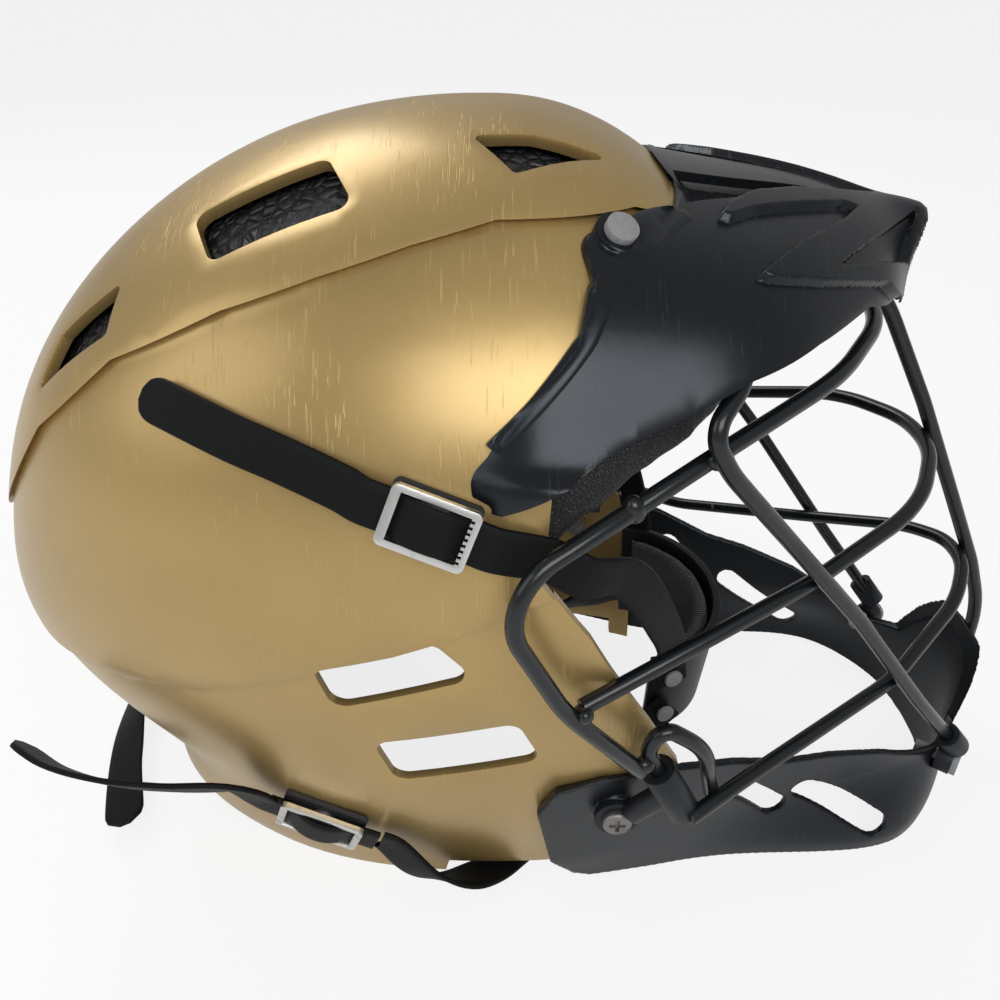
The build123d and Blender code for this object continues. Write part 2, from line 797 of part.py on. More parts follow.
def buckle(plane, length, strap_width):
    """A stamped ladder buckle with a toothed front bar."""
    half = length / 2
    inner = strap_width / 2 + strap_clearance
    outer = inner + buckle_rail
    bottom = seat_gap + socket_height
    top = bottom + buckle_plate + buckle_dip
    outline = RectangleRounded(length, 2 * outer, buckle_rail)
    frame = plane * Pos(0, 0, bottom) * extrude(outline, top - bottom)
    bar = centre_bar_width / 2
    cutters = [local_box(plane, (bar, -inner, 0), (half - buckle_bar, inner, 2 * top))]
    cutters.append(local_box(plane, (buckle_bar - half, -inner, 0), (-bar, inner, 2 * top)))
    cutters.append(local_box(plane, (-bar, -inner, top - buckle_dip), (bar, inner, 2 * top)))
    for low in (-half - overrun, half - buckle_bar):
        high = low + overrun + buckle_bar
        cutters.append(local_box(plane, (low, -inner, 0), (high, inner, bottom + buckle_dip)))
    pitch = 2 * inner / teeth
    for index in range(teeth):
        v = -inner + pitch * (index + 0.5)
        low = (half - buckle_bar - overrun, v - pitch / 4, bottom)
        high = (half - buckle_bar + tooth_depth, v + pitch / 4, 2 * top)
        cutters.append(local_box(plane, low, high))
    return frame.cut(*cutters)


def woven(plane, length, lean_in):
    """Centres and normals of a strap threaded through a buckle."""
    half = length / 2
    bottom = seat_gap + socket_height
    under = bottom + buckle_dip - strap_thickness / 2 - strap_slack
    over = bottom + buckle_plate + strap_thickness / 2 + strap_slack
    bar = centre_bar_width / 2
    heights = (
        (-half - overrun, under - lean_in), (-half, under), (-half + buckle_bar, under),
        (-bar, over), (bar, over), (half - buckle_bar, under), (half, under),
        (half + overrun, under - lean_in),
    )
    centres = [plane.from_local_coords(Vector(u, 0, w)) for u, w in heights]
    return centres, [plane.z_dir] * len(centres)


upper_tail_shares = (
    (-0.2, 0.722, 1.6), (-0.29, 0.742, 1.4), (-0.37, 0.757, 1.6), (-0.45, 0.771, 1.9), (-0.52, 0.781, 2.2),
)
upper_run_shares = ((0.09, 0.649, 0.75), (0.135, 0.628, 0.7))
upper_free_shares = (
    (0.19, -0.915, 0.6), (0.229, -0.815, 0.547), (0.276, -0.66, 0.455), (0.315, -0.51, 0.365),
    (0.33, -0.432, 0.29), (0.336, -0.418, 0.262),
)
upper_free_normals = (
    (0.5, -0.85, -0.1), (0.55, -0.8, -0.2), (0.6, -0.75, -0.25), (0.6, -0.78, -0.15),
    (0.33, -0.94, 0), (0.33, -0.94, 0),
)


def upper_strap():
    """Webbing from the loose end behind the upper buckle to the chin cup."""
    plane = fastener_plane(upper_stud_shares, dome_step, -1, math.radians(buckle_lean))
    centres, normals = woven(plane, upper_buckle_length, strap_slack)
    tail = []
    for x_share, z_share, lift in reversed(upper_tail_shares):
        place = at(x_share, 0, z_share)
        tail.append(on_skin(place.X, place.Z, dome_step + lift * strap_thickness))
    run = []
    for x_share, z_share, lift in upper_run_shares:
        place = at(x_share, 0, z_share)
        run.append(on_skin(place.X, place.Z, dome_step + lift * strap_thickness))
    turns = [skin_normal(p.X, p.Z) for p in tail] + normals + [skin_normal(p.X, p.Z) for p in run]
    turns += [Vector(*normal) for normal in upper_free_normals]
    line = tail + centres + run + places(upper_free_shares)
    return band(line, turns, upper_strap_width, strap_thickness)


lower_tail_shares = (
    (-0.49, -0.85, 0.243), (-0.62, -0.86, 0.25), (-0.75, -0.83, 0.247), (-0.87, -0.77, 0.248),
    (-0.96, -0.69, 0.258),
)


def lower_loop():
    """The webbing through the near lower buckle and its loose end."""
    plane = fastener_plane(lower_stud_shares, 0.0, -1, math.radians(lower_lean))
    centres, normals = woven(plane, lower_buckle_length, strap_slack)
    tail = places(lower_tail_shares)[::-1]
    turns = [Vector(-0.25, -0.95, 0.1)] * len(tail)
    return band(tail + centres, turns + normals, lower_strap_width, strap_thickness)


def left_loop():
    """The webbing through the far lower buckle, up to its edge."""
    plane = fastener_plane(lower_stud_shares, 0.0, 1, math.radians(lower_lean))
    centres, normals = woven(plane, lower_buckle_length, strap_slack)
    return band(centres, normals, lower_strap_width, strap_thickness)


left_tail_shares = (
    (-0.56, 0.88, 0.2), (-0.72, 0.72, 0.13), (-0.88, 0.42, 0.07), (-0.94, 0.09, 0.045),
    (-0.9, -0.28, 0.04), (-0.84, -0.58, 0.037),
)
left_tail_normals = (
    (-0.4, 0.9, 0.1), (-0.75, 0.65, 0.2), (-0.85, 0.3, 0.45), (-0.7, 0, 0.7), (-0.4, -0.1, 0.9),
    (-0.2, -0.1, 0.97),
)


def left_tail():
    """The long loose end of the far lower strap, curling round the nape."""
    plane = fastener_plane(lower_stud_shares, 0.0, 1, math.radians(lower_lean))
    start = plane.from_local_coords(Vector(-lower_buckle_length / 2 - overrun - strap_gap, 0, 0))
    bottom = seat_gap + socket_height + buckle_dip - strap_thickness
    start += plane.z_dir * bottom
    line = [start] + places(left_tail_shares)
    turns = [plane.z_dir] + [Vector(*normal) for normal in left_tail_normals]
    return band(line, turns, lower_strap_width, strap_thickness)


lower_run_shares = (
    (-0.12, -0.815, 0.045), (-0.01, -0.765, 0.02), (0.057, -0.645, 0.02), (0.167, -0.547, 0.084),
    (0.25, -0.46, 0.14), (0.32, -0.404, 0.19), (0.34, -0.391, 0.205),
)
lower_run_normals = (
    (0, -0.8, -0.6), (0, -0.3, -0.95), (0, 0.3, -0.95), (0.2, 0.7, -0.7), (0, 0.9, -0.4),
    (-0.33, 0.94, 0), (-0.33, 0.94, 0),
)


def lower_run():
    """The webbing from the near lower buckle under the rim to the chin cup."""
    plane = fastener_plane(lower_stud_shares, 0.0, -1, math.radians(lower_lean))
    start = plane.from_local_coords(Vector(lower_buckle_length / 2 + overrun + strap_gap, 0, 0))
    bottom = seat_gap + socket_height + buckle_dip - strap_thickness
    start += plane.z_dir * bottom
    line = [start, start + plane.x_dir * strap_lead] + places(lower_run_shares)
    turns = [plane.z_dir] * 2 + [Vector(*normal) for normal in lower_run_normals]
    return band(line, turns, lower_strap_width, strap_thickness)


def cup_form(shrink, low=0.0, high=1.0):
    """The filled form of the chin cup, shrunk by one offset."""
    sections = []
    for share in (low, high):
        reach = cup_foot_reach + (cup_top_reach - cup_foot_reach) * share - shrink
        half = cup_foot_half_width + (cup_top_half_width - cup_foot_half_width) * share - shrink
        level = cup_foot + cup_height * share
        sections.append(Pos(cup_centre, 0, level) * Ellipse(reach, half))
    return loft(sections)


def front_block(front):
    """A block over everything in front of one distance."""
    corners = [
        Vector(front, 0, -overrun), Vector(guard_reach, 0, -overrun),
        Vector(guard_reach, 0, crown_height), Vector(front, 0, crown_height),
    ]
    return side_prism(corners)


def chin_cup():
    """The hard outer cup with its breathing slot."""
    block = front_block(cup_wing_front)
    wall = cup_form(0).cut(cup_form(cup_wall, -0.2, 1.2)) & block
    slot = SlotOverall(cup_hole_width, cup_hole_height)
    place = Plane(origin=(cup_centre, 0, cup_foot + cup_height / 2), x_dir=(0, 1, 0), z_dir=(1, 0, 0))
    return wall.cut(place * extrude(slot, 3 * cup_foot_reach), *cup_bores())


def cup_cushion():
    """The soft pad inside the cup."""
    block = front_block(cup_wing_front + cup_wall)
    gap = cup_wall + seat_gap
    ring = cup_form(gap, 0.05, 0.95).cut(cup_form(gap + cup_pad_thickness, -0.2, 1.2))
    return ring & block


cup_rivet_shares = ((0.333, 0.424, 0.276), (0.33, 0.399, 0.197))
cup_rivet_turn = 70.0


def cup_rivet_planes(side):
    """The middles of the two strap ends on one wing of the cup."""
    turn = math.radians(cup_rivet_turn)
    planes = []
    for shares in cup_rivet_shares:
        place = at(*shares)
        origin = (place.X, side * place.Y, place.Z)
        planes.append(Plane(origin=origin, z_dir=(math.cos(turn), side * math.sin(turn), 0)))
    return planes


def cup_bores(sides=(-1, 1)):
    """Bores for the rivets that hold the straps to the cup."""
    planes = [plane for side in sides for plane in cup_rivet_planes(side)]
    return [post(plane, rivet_hole_diameter, -2 * overrun, overrun) for plane in planes]


def strap_bores(index):
    """The bore and head recess of one cup rivet in its strap end."""
    plane = cup_rivet_planes(-1)[index]
    seat = strap_thickness / 2 + strap_clearance - fit_gap
    head = post(plane, cup_rivet_diameter + 2 * strap_clearance, seat, 2 * overrun)
    return [post(plane, rivet_hole_diameter, -2 * overrun, overrun), head]


def cup_rivets():
    """Small rivets through the strap ends and the cup."""
    rivets = []
    for plane in cup_rivet_planes(-1) + cup_rivet_planes(1):
        seat = strap_thickness / 2 + strap_clearance
        head = post(plane, cup_rivet_diameter, seat, seat + cup_rivet_height)
        shank = post(plane, rivet_hole_diameter - 2 * bore_gap, -cup_grip, seat)
        rivets.append(head + shank)
    return rivets


def moved_to_base(parts):
    """The same pieces with the origin in the middle of their footprint."""
    boxes = [solid.bounding_box() for solids in parts.values() for solid in solids]
    low = Vector(*[min(getattr(b.min, axis) for b in boxes) for axis in "XYZ"])
    high = Vector(*[max(getattr(b.max, axis) for b in boxes) for axis in "XYZ"])
    shift = Pos(-(low.X + high.X) / 2, -(low.Y + high.Y) / 2, -low.Z)
    return {name: [shift * solid for solid in solids] for name, solids in parts.items()}


def cage_clips(parts):
    """The clips, bored for the wires they hold."""
    grown = wire_diameter + 2 * fit_gap
    bar = wire(places(rear_bar_shares), grown)
    loop = wire(places(end_loop_shares), grown)
    hoop = wire(hoop_places(mouth_hoop_shares), grown)
    held = {"right": [bar, loop, hoop], "left": [mirrored(bar), mirrored(loop), hoop]}
    clips = side_clips(held)
    parts["right_side_clip"] = [clips["right"]]
    parts["left_side_clip"] = [clips["left"]]
    side = wire(places(side_bar_shares), grown)
    sides = {"right": side, "left": mirrored(side)}
    parts["chin_clips"] = chin_clips(sides, guard_form(fit_gap))


def strap_set(parts):
    """The chin cup with its straps, buckles, sockets and backing pads."""
    lean = math.radians(buckle_lean)
    sides = ((-1, "right"), (1, "left"))
    parts["chin_cup"] = [chin_cup()]
    parts["chin_cup_pad"] = [cup_cushion()]
    parts["cup_rivets"] = cup_rivets()
    strap = upper_strap().cut(*strap_bores(0))
    run = lower_run().cut(*strap_bores(1))
    parts["upper_right_strap"] = [strap]
    parts["upper_left_strap"] = [mirrored(strap)]
    parts["lower_right_strap"] = [run]
    parts["lower_left_strap"] = [mirrored(run)]
    parts["upper_sockets"] = []
    parts["upper_backing_pads"] = []
    width = upper_strap_width + 2 * (strap_clearance + buckle_rail)
    for side, name in sides:
        plane = fastener_plane(upper_stud_shares, dome_step, side, lean)
        parts["upper_" + name + "_buckle"] = [buckle(plane, upper_buckle_length, upper_strap_width)]
        parts["upper_sockets"].append(snap_socket(plane))
        parts["upper_backing_pads"].append(backing_pad(plane, upper_buckle_length, width))
    lean = math.radians(lower_lean)
    width = lower_strap_width + 2 * (strap_clearance + buckle_rail)
    for side, name in sides:
        plane = fastener_plane(lower_stud_shares, 0.0, side, lean)
        parts["lower_" + name + "_buckle"] = [buckle(plane, lower_buckle_length, lower_strap_width)]
        parts["lower_" + name + "_socket"] = [snap_socket(plane)]
        parts["lower_" + name + "_backing_pad"] = [backing_pad(plane, lower_buckle_length, width)]
    parts["lower_right_loop"] = [lower_loop()]
    parts["lower_left_loop"] = [left_loop()]
    parts["lower_left_tail"] = [left_tail()]


def all_parts():
    """Every node of the helmet with its solids, in the layout frame."""
    brow, nape, jaw = inner_pads()
    parts = {"outer_shell": [outer_shell()], "crown_liner": [crown_liner()]}
    parts["brow_pad"] = [brow]
    parts["nape_pad"] = [nape]
    jaws = jaw.solids().sort_by(Axis.Y)
    parts["right_jaw_pad"] = [jaws[0]]
    parts["left_jaw_pad"] = [jaws[-1]]
    parts["visor"] = [visor()]
    parts["visor_rivets"] = visor_rivets()
    for name, solid in cage_wires().items():
        parts[name] = [solid]
    parts["chin_guard"] = [chin_guard()]
    cage_clips(parts)
    parts["clip_screws"] = clip_screws()
    parts["clip_nuts"] = clip_nuts()
    parts["chin_rivets"] = chin_rivets()
    studs = snap_studs()
    parts["upper_studs"] = studs[:2]
    parts["lower_studs"] = studs[2:]
    parts["stud_washers"] = stud_washers()
    strap_set(parts)
    return parts


def write_parts():
    """Write one STEP file for every node."""
    os.makedirs("parts", exist_ok=True)
    for name, solids in moved_to_base(all_parts()).items():
        bodies = [body for solid in solids for body in solid.solids()]
        shape = bodies[0] if len(bodies) == 1 else Compound(children=bodies)
        export_step(shape, "parts/" + name + ".step")


if __name__ == "__main__":
    write_parts()
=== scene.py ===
import json
import math

import bpy
import numpy
from bpy.props import FloatProperty, FloatVectorProperty, PointerProperty
from bpy.types import Operator, Panel, PropertyGroup
from mathutils import Matrix, Vector
from mathutils.bvhtree import BVHTree
from mathutils.kdtree import KDTree


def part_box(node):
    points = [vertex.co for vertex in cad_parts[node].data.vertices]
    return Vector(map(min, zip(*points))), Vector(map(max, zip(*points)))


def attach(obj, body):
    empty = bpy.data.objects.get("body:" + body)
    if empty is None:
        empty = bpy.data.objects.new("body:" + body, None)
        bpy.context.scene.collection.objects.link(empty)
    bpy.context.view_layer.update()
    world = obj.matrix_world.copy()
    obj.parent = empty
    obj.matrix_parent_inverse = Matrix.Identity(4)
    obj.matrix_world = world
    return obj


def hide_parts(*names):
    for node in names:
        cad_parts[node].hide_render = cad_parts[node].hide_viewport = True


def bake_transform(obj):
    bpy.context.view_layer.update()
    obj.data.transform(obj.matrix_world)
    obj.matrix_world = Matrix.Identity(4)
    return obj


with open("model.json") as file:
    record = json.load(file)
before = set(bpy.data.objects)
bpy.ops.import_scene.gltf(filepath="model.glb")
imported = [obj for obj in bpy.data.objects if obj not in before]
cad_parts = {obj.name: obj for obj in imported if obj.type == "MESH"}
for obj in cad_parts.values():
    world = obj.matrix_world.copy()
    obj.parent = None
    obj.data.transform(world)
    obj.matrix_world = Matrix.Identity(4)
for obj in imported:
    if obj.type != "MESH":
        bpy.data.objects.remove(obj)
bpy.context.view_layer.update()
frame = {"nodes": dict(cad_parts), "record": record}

bl_info = {
    "name": "Lacrosse Helmet",
    "version": (1, 0, 0),
    "blender": (4, 5, 0),
    "location": "View3D > Sidebar > Helmet",
    "description": "Dresses the helmet with its mouldings, pads, straps and finishes",
    "category": "Object",
}

# The photograph's view: where the eye is, how far it looks down and aside, its lens and its picture
EYE = Vector((-0.01347, -0.296, 0.307))
LOOK_DOWN = math.radians(32)
LOOK_ASIDE = math.radians(-0.2)
LENS = 32.4
SENSOR = 36.0
PICTURE = 1000
FOCUS = PICTURE * LENS / SENSOR
MIDDLE = PICTURE / 2

# The strap routes are shares of these lengths, counted from the helmet's ear line
EAR_LINE = -0.018471
FRONT_REACH = 0.210
REAR_REACH = 0.170
HALF_WIDTH = 0.106
HEIGHT = 0.2625
HEAD_MIDDLE = Vector((EAR_LINE - 0.02, 0.0, 0.12))

# Forms of the visor as outlines in the photograph's pixels, and how steeply they rise in pixels
RAISED_FRONT = (
    (718, 220), (724, 208), (752, 196), (790, 193), (822, 194), (880, 199), (930, 205), (930, 305),
    (893, 300), (880, 286), (820, 286), (768, 283), (757, 278), (770, 266), (800, 244), (842, 221),
    (851, 213), (840, 209), (790, 211), (752, 215), (730, 223),
)
FRONT_RECESS = ((836, 268), (860, 250), (912, 214), (907, 232), (899, 262))
RELIEF_MARGIN = 3.5
RAISED_SLOPE = 1.6
RECESS_SLOPE = 1.4
RAISED_HEIGHT = 0.0028
RECESS_DEPTH = 0.0030
RELIEF_SINK = 0.0002
RELIEF_VOXEL = 0.0008
SKIN_WALL = 0.0006
# The visor's rear edge lies along the shell, from its top to its tip; its inner line is on the wing
REAR_EDGE = (
    (683, 208), (640, 215), (600, 228), (583, 245), (590, 280), (590, 310), (575, 340), (530, 400),
    (484, 446),
)
REAR_INNER = (
    (694, 218), (672, 236), (654, 250), (638, 264), (618, 292), (608, 318), (594, 350), (546, 410),
    (498, 458),
)
EDGE_STAND = 0.0030
EDGE_COVER = 0.0005
EDGE_ROUND = 0.0003
# Across the edge: shares of the way from the outer line to the inner one, and the lift at each
EDGE_SHARES = (-0.06, 0, 0.2, 0.4, 0.6, 0.8, 1.0, 1.08)
EDGE_LIFTS = (-0.0004 - EDGE_STAND, 0, 0, 0, 0, 0, -0.0002, -0.0012)
# The channel beside the visor's spine, seen from above
SIDE_CHANNEL = (
    (0.039, 0.016), (0.060, 0.0135), (0.075, 0.011), (0.088, 0.0085), (0.084, 0.014),
    (0.066, 0.024), (0.054, 0.031), (0.045, 0.036), (0.039, 0.040),
)

CHANNEL_LEVELS = (0.225, 0.262)
CHANNEL_VOXEL = 0.0012
CHANNEL_DEPTH = 0.0055
CHANNEL_MARGIN = 0.003
CHANNEL_FRONT = 0.092
CHANNEL_REAR = 0.037
CHANNEL_RUN_UP = 0.032
CHANNEL_RUN_OFF = 0.008
WING_TOP = 0.2
VISOR_MIDDLE = (-0.1, 0.0, 0.150)
VISOR_FLATNESS = 0.15

# The chin guard's lobe: where it fades, as the middle of a soft step and half its length
GUARD_VOXEL = 0.0009
LOBE_TOP = (0.020, 0.016)
LOBE_REAR = (0.100, 0.045)
LOBE_NOSE = (0.165, 0.022)
LOBE_SWELL = 0.015
LOBE_FADE = 0.6
NOSE_HALF_WIDTH = 0.02
HEEL_FRONT = (0.035, 0.035)
HEEL_TOP = (0.012, 0.012)
HEEL_LIFT = 0.005

# Weld beads
WELD_REACH = 0.0022
WELD_APART = 0.009
WELD_RADIUS = 0.0031
WELD_STRETCH = 1.35

# Buckles: length and lean of the upper and lower ones, and the way the upper ones face
UPPER_BUCKLE = 0.024
LOWER_BUCKLE = 0.030
UPPER_LEAN = math.radians(22)
LOWER_LEAN = math.radians(18)
UPPER_FACING = Vector((-0.03, -0.97, 0.25))
# A strap passes under a buckle's end bars and over its middle bar
END_BAR = 0.0026
MIDDLE_BAR = 0.004
PLATE_LIFT = 0.0017
RUN_OUT = 0.006
RUN_OUT_DROP = 0.00015
STRAP_GAP = 0.0016
STRAP_DROP = 0.00255
STRAP_LEAD = 0.003

# Places along the shell, as shares of its reach and height, and how far out from its skin
UPPER_TAIL = (
    (-0.52, 0.781, 0.0041), (-0.45, 0.771, 0.0032), (-0.37, 0.757, 0.0027), (-0.29, 0.742, 0.0023),
    (-0.2, 0.722, 0.0030),
)
# Places off the shell, as shares of the reach, half width and height, and the way the strap faces
UPPER_FREE = (
    ((0.09, -1.012, 0.649), (0.07, -0.98, 0.17)),
    ((0.135, -1.01, 0.628), (0.13, -0.98, 0.13)),
    ((0.19, -0.915, 0.6), (0.5, -0.85, -0.1)),
    ((0.229, -0.815, 0.547), (0.55, -0.8, -0.2)),
    ((0.276, -0.66, 0.455), (0.6, -0.75, -0.25)),
    ((0.315, -0.51, 0.365), (0.6, -0.78, -0.15)),
    ((0.33, -0.432, 0.29), (0.33, -0.94, 0)),
    ((0.336, -0.418, 0.262), (0.33, -0.94, 0)),
)
LOWER_TAIL = (
    ((-0.96, -0.69, 0.258), (-0.2, -0.79, -0.58)),
    ((-0.87, -0.77, 0.248), (-0.2, -0.79, -0.58)),
    ((-0.75, -0.83, 0.247), (-0.2, -0.79, -0.58)),
    ((-0.62, -0.86, 0.25), (-0.2, -0.79, -0.58)),
    ((-0.49, -0.85, 0.243), (-0.2, -0.82, -0.53)),
)
LEFT_TAIL = (
    ((-0.56, 0.88, 0.2), (-0.4, 0.9, 0.1)),
    ((-0.72, 0.72, 0.13), (-0.75, 0.65, 0.2)),
    ((-0.88, 0.42, 0.07), (-0.85, 0.3, 0.45)),
    ((-0.94, 0.09, 0.045), (-0.7, 0, 0.7)),
    ((-0.9, -0.28, 0.04), (-0.4, -0.1, 0.9)),
    ((-0.84, -0.58, 0.037), (-0.2, -0.1, 0.97)),
)
LOWER_FREE = (
    ((-0.12, -0.815, 0.045), (0, -0.8, -0.6)),
    ((-0.01, -0.765, 0.02), (0, -0.3, -0.95)),
    ((0.057, -0.645, 0.02), (0, 0.3, -0.95)),
    ((0.167, -0.547, 0.084), (0.2, 0.7, -0.7)),
    ((0.25, -0.46, 0.14), (0, 0.9, -0.4)),
    ((0.32, -0.404, 0.19), (-0.33, 0.94, 0)),
    ((0.34, -0.391, 0.205), (-0.33, 0.94, 0)),
)

# Padded pieces: CAD node, piece, how far its skin may move, and how tight it is
PADS = (
    ("brow_pad", "brow_cushion", 0.003, 0.8),
    ("nape_pad", "nape_cushion", 0.003, 0.8),
    ("right_jaw_pad", "right_jaw_cushion", 0.003, 0.8),
    ("left_jaw_pad", "left_jaw_cushion", 0.003, 0.8),
    ("chin_cup_pad", "cup_cushion", 0.002, 0.8),
    ("crown_liner", "crown_beads", 0.0015, 0.9),
)
CLOTH_FRAMES = 20
CLOTH_PRESSURE = 4

# Lamps: name, place, what it looks at, width, depth and power
LAMPS = (
    ("key_panel", (0.2, -1.05, 0.92), (0, 0, 0.15), 0.9, 0.6, 8.5),
    ("fill_panel", (-1.3, -0.6, 0.9), (0, 0, 0.12), 0.9, 0.9, 4),
    ("rim_panel", (-0.7, 0.9, 1.4), (0, 0, 0.15), 0.9, 0.7, 9),
)
FLOOR_WIDTH = 60.0
FLOOR_SHOWN = 0.82
FLOOR_MIRRORED = 0.3
FLOOR_THROUGH = 0.5
SKY_LIGHT = 0.38
SKY_SHOWN = 0.58


class HelmetSizes(PropertyGroup):
    """Sizes that a user would change."""

    edge_round: FloatProperty(
        name="Edge round", description="Rounding of the moulded edges",
        default=0.0005, unit="LENGTH",
    )
    strap_thickness: FloatProperty(
        name="Strap thickness", description="Thickness of the webbing",
        default=0.0019, unit="LENGTH",
    )
    upper_webbing: FloatProperty(
        name="Upper webbing", description="Width of the upper straps",
        default=0.0127, unit="LENGTH",
    )
    lower_webbing: FloatProperty(
        name="Lower webbing", description="Width of the lower straps",
        default=0.0159, unit="LENGTH",
    )
    pad_voxel: FloatProperty(
        name="Pad detail", description="Voxel size of the stuffed pads",
        default=0.0042, unit="LENGTH",
    )


class HelmetColours(PropertyGroup):
    """Colours that a user would change."""

    shell: FloatVectorProperty(
        name="Shell", description="Metallic paint of the shell", subtype="COLOR",
        size=3, default=(0.40, 0.275, 0.105),
    )
    plastic: FloatVectorProperty(
        name="Plastic", description="Visor, chin guard and clips", subtype="COLOR",
        size=3, default=(0.006, 0.0066, 0.0078),
    )
    coating: FloatVectorProperty(
        name="Cage coating", description="Powder coat of the cage", subtype="COLOR",
        size=3, default=(0.006, 0.008, 0.010),
    )
    webbing: FloatVectorProperty(
        name="Webbing", description="Woven straps", subtype="COLOR",
        size=3, default=(0.003, 0.0032, 0.0036),
    )
    floor: FloatVectorProperty(
        name="Floor", description="Floor and backdrop", subtype="COLOR",
        size=3, default=(0.9, 0.9, 0.9),
    )


def sizes():
    return bpy.context.scene.helmet_sizes


def colours():
    return bpy.context.scene.helmet_colours


class Level:
    """A value in a material that Python's own operators can work on."""

    def __init__(self, owner, socket):
        self.owner = owner
        self.socket = socket

    def _math(self, operation, first, second):
        return self.owner.node("ShaderNodeMath", {"operation": operation}, {0: first, 1: second})

    def __add__(self, other):
        return self._math("ADD", self, other)

    __radd__ = __add__

    def __mul__(self, other):
        return self._math("MULTIPLY", self, other)

    __rmul__ = __mul__

    def __sub__(self, other):
        return self._math("SUBTRACT", self, other)

    def __rsub__(self, other):
        return self._math("SUBTRACT", other, self)

    def wave(self):
        return self._math("SINE", self, 0.0)

    def size(self):
        return self._math("ABSOLUTE", self, 0.0)


class Tree:
    """A node tree and the single way its nodes are made."""

    def __init__(self, tree):
        self.tree = tree

    def node(self, kind, settings=None, inputs=None, output=0):
        made = self.tree.nodes.new(kind)
        for key, value in (settings or {}).items():
            setattr(made, key, value)
        for key, value in (inputs or {}).items():
            if isinstance(value, Level):
                self.tree.links.new(value.socket, made.inputs[key])
            else:
                made.inputs[key].default_value = value
        return Level(self, made.outputs[output])


class Finish(Tree):
    """One procedural material."""

    def __init__(self, name, base, roughness=0.5, metallic=0.0, **fixed):
        self.material = bpy.data.materials.new(name)
        self.material.use_nodes = True
        self.material.diffuse_color = (*base, 1.0)
        super().__init__(self.material.node_tree)
        self.shader = self.tree.nodes["Principled BSDF"]
        self.set("Base Color", (*base, 1.0))
        self.set("Roughness", roughness)
        self.set("Metallic", metallic)
        for socket, value in fixed.items():
            self.set(socket.replace("_", " "), value)

    def set(self, socket, value):
        target = self.shader.inputs[socket]
        if isinstance(value, Level):
            self.tree.links.new(value.socket, target)
        else:
            target.default_value = value

    def place(self):
        return self.node("ShaderNodeTexCoord", output="Object")

    def along(self, scale, turn=(0, 0, 0), source=None):
        settings = {"Scale": scale, "Rotation": turn, "Vector": source or self.place()}
        return self.node("ShaderNodeMapping", None, settings)

    def grain(self, scale, detail=3.0, roughness=0.5, source=None, distortion=0.0):
        inputs = {"Scale": scale, "Detail": detail, "Roughness": roughness}
        inputs.update({"Distortion": distortion, "Vector": source or self.place()})
        return self.node("ShaderNodeTexNoise", None, inputs)

    def cells(self, scale, source=None, feature="F1", output="Distance"):
        inputs = {"Scale": scale, "Vector": source or self.place()}
        return self.node("ShaderNodeTexVoronoi", {"feature": feature}, inputs, output)

    def band(self, value, low, high):
        settings = {"interpolation_type": "SMOOTHSTEP"}
        return self.node("ShaderNodeMapRange", settings, {0: value, 1: low, 2: high})

    def mix(self, factor, first, second):
        inputs = {0: factor, 6: first, 7: second}
        return self.node("ShaderNodeMix", {"data_type": "RGBA"}, inputs, 2)

    def bump(self, height, distance, strength=1.0, below=None):
        inputs = {"Height": height, "Distance": distance, "Strength": strength}
        if below is not None:
            inputs["Normal"] = below
        return self.node("ShaderNodeBump", None, inputs)


def shade(colour, factor):
    return tuple(min(1.0, channel * factor) for channel in colour[:3]) + (1.0,)


def scuffs(finish, scale, turns, width):
    """Fine scratches in a few directions, as a mask from 0 to 1."""
    total = None
    for index, turn in enumerate(turns):
        place = finish.along((scale, scale * 0.06, scale * 0.06), turn)
        lines = finish.grain(1.0, 1.0, 0.4, place)
        mask = finish.band(lines, 0.70 - width, 0.71)
        patch = finish.band(finish.grain(26.0 + 9 * index, 3.0), 0.5, 0.64)
        mask = mask * patch
        total = mask if total is None else total + mask
    return total


def shell_paint():
    tone = colours().shell[:]
    finish = Finish("shell_paint", tone, 0.36, 0.62, Coat_Weight=0.25, Coat_Roughness=0.22)
    turns = ((0.3, 0.2, 0.5), (1.2, 0.4, -0.6), (0.1, 1.1, 1.3))
    marks = scuffs(finish, 1500.0, turns, 0.05)
    cloud = finish.grain(14.0, 4.0)
    flake = finish.grain(2600.0, 2.0)
    base = finish.mix(finish.band(cloud, 0.3, 0.7), shade(tone, 0.9), shade(tone, 1.1))
    base = finish.mix(flake * 0.35, base, shade(tone, 1.45))
    base = finish.mix(marks * 0.3, base, shade(tone, 1.6))
    finish.set("Base Color", base)
    finish.set("Roughness", 0.31 + cloud * 0.1 + marks * 0.14)
    finish.set("Normal", finish.bump(marks * -1.0 + flake * 0.12, 0.00006, 0.6))
    return finish.material


def gloss_plastic(name, tone, roughness, scratched=0.4):
    finish = Finish(name, tone, roughness, 0.0, Specular_IOR_Level=0.36)
    # The bluish specular tint is a painted reflection: it gives every reflection on the plastic the
    # colour of a blue sky.
    finish.set("Specular Tint", (0.82, 0.91, 1.0, 1.0))
    cloud = finish.grain(30.0, 3.0)
    marks = scuffs(finish, 1200.0, ((0.2, 0.1, 0.4), (0.9, 0.5, -0.8)), 0.05)
    dust = finish.band(finish.grain(900.0, 2.0), 0.62, 0.72)
    base = finish.mix(marks * scratched, shade(tone, 1.0), shade(tone, 4.5))
    base = finish.mix(dust * 0.25, base, shade(tone, 3.0))
    finish.set("Base Color", base)
    finish.set("Roughness", roughness - 0.04 + cloud * 0.1 + marks * 0.12)
    peel = finish.grain(240.0, 2.0)
    finish.set("Normal", finish.bump(peel * 0.5 - marks, 0.00005, 0.5))
    return finish.material


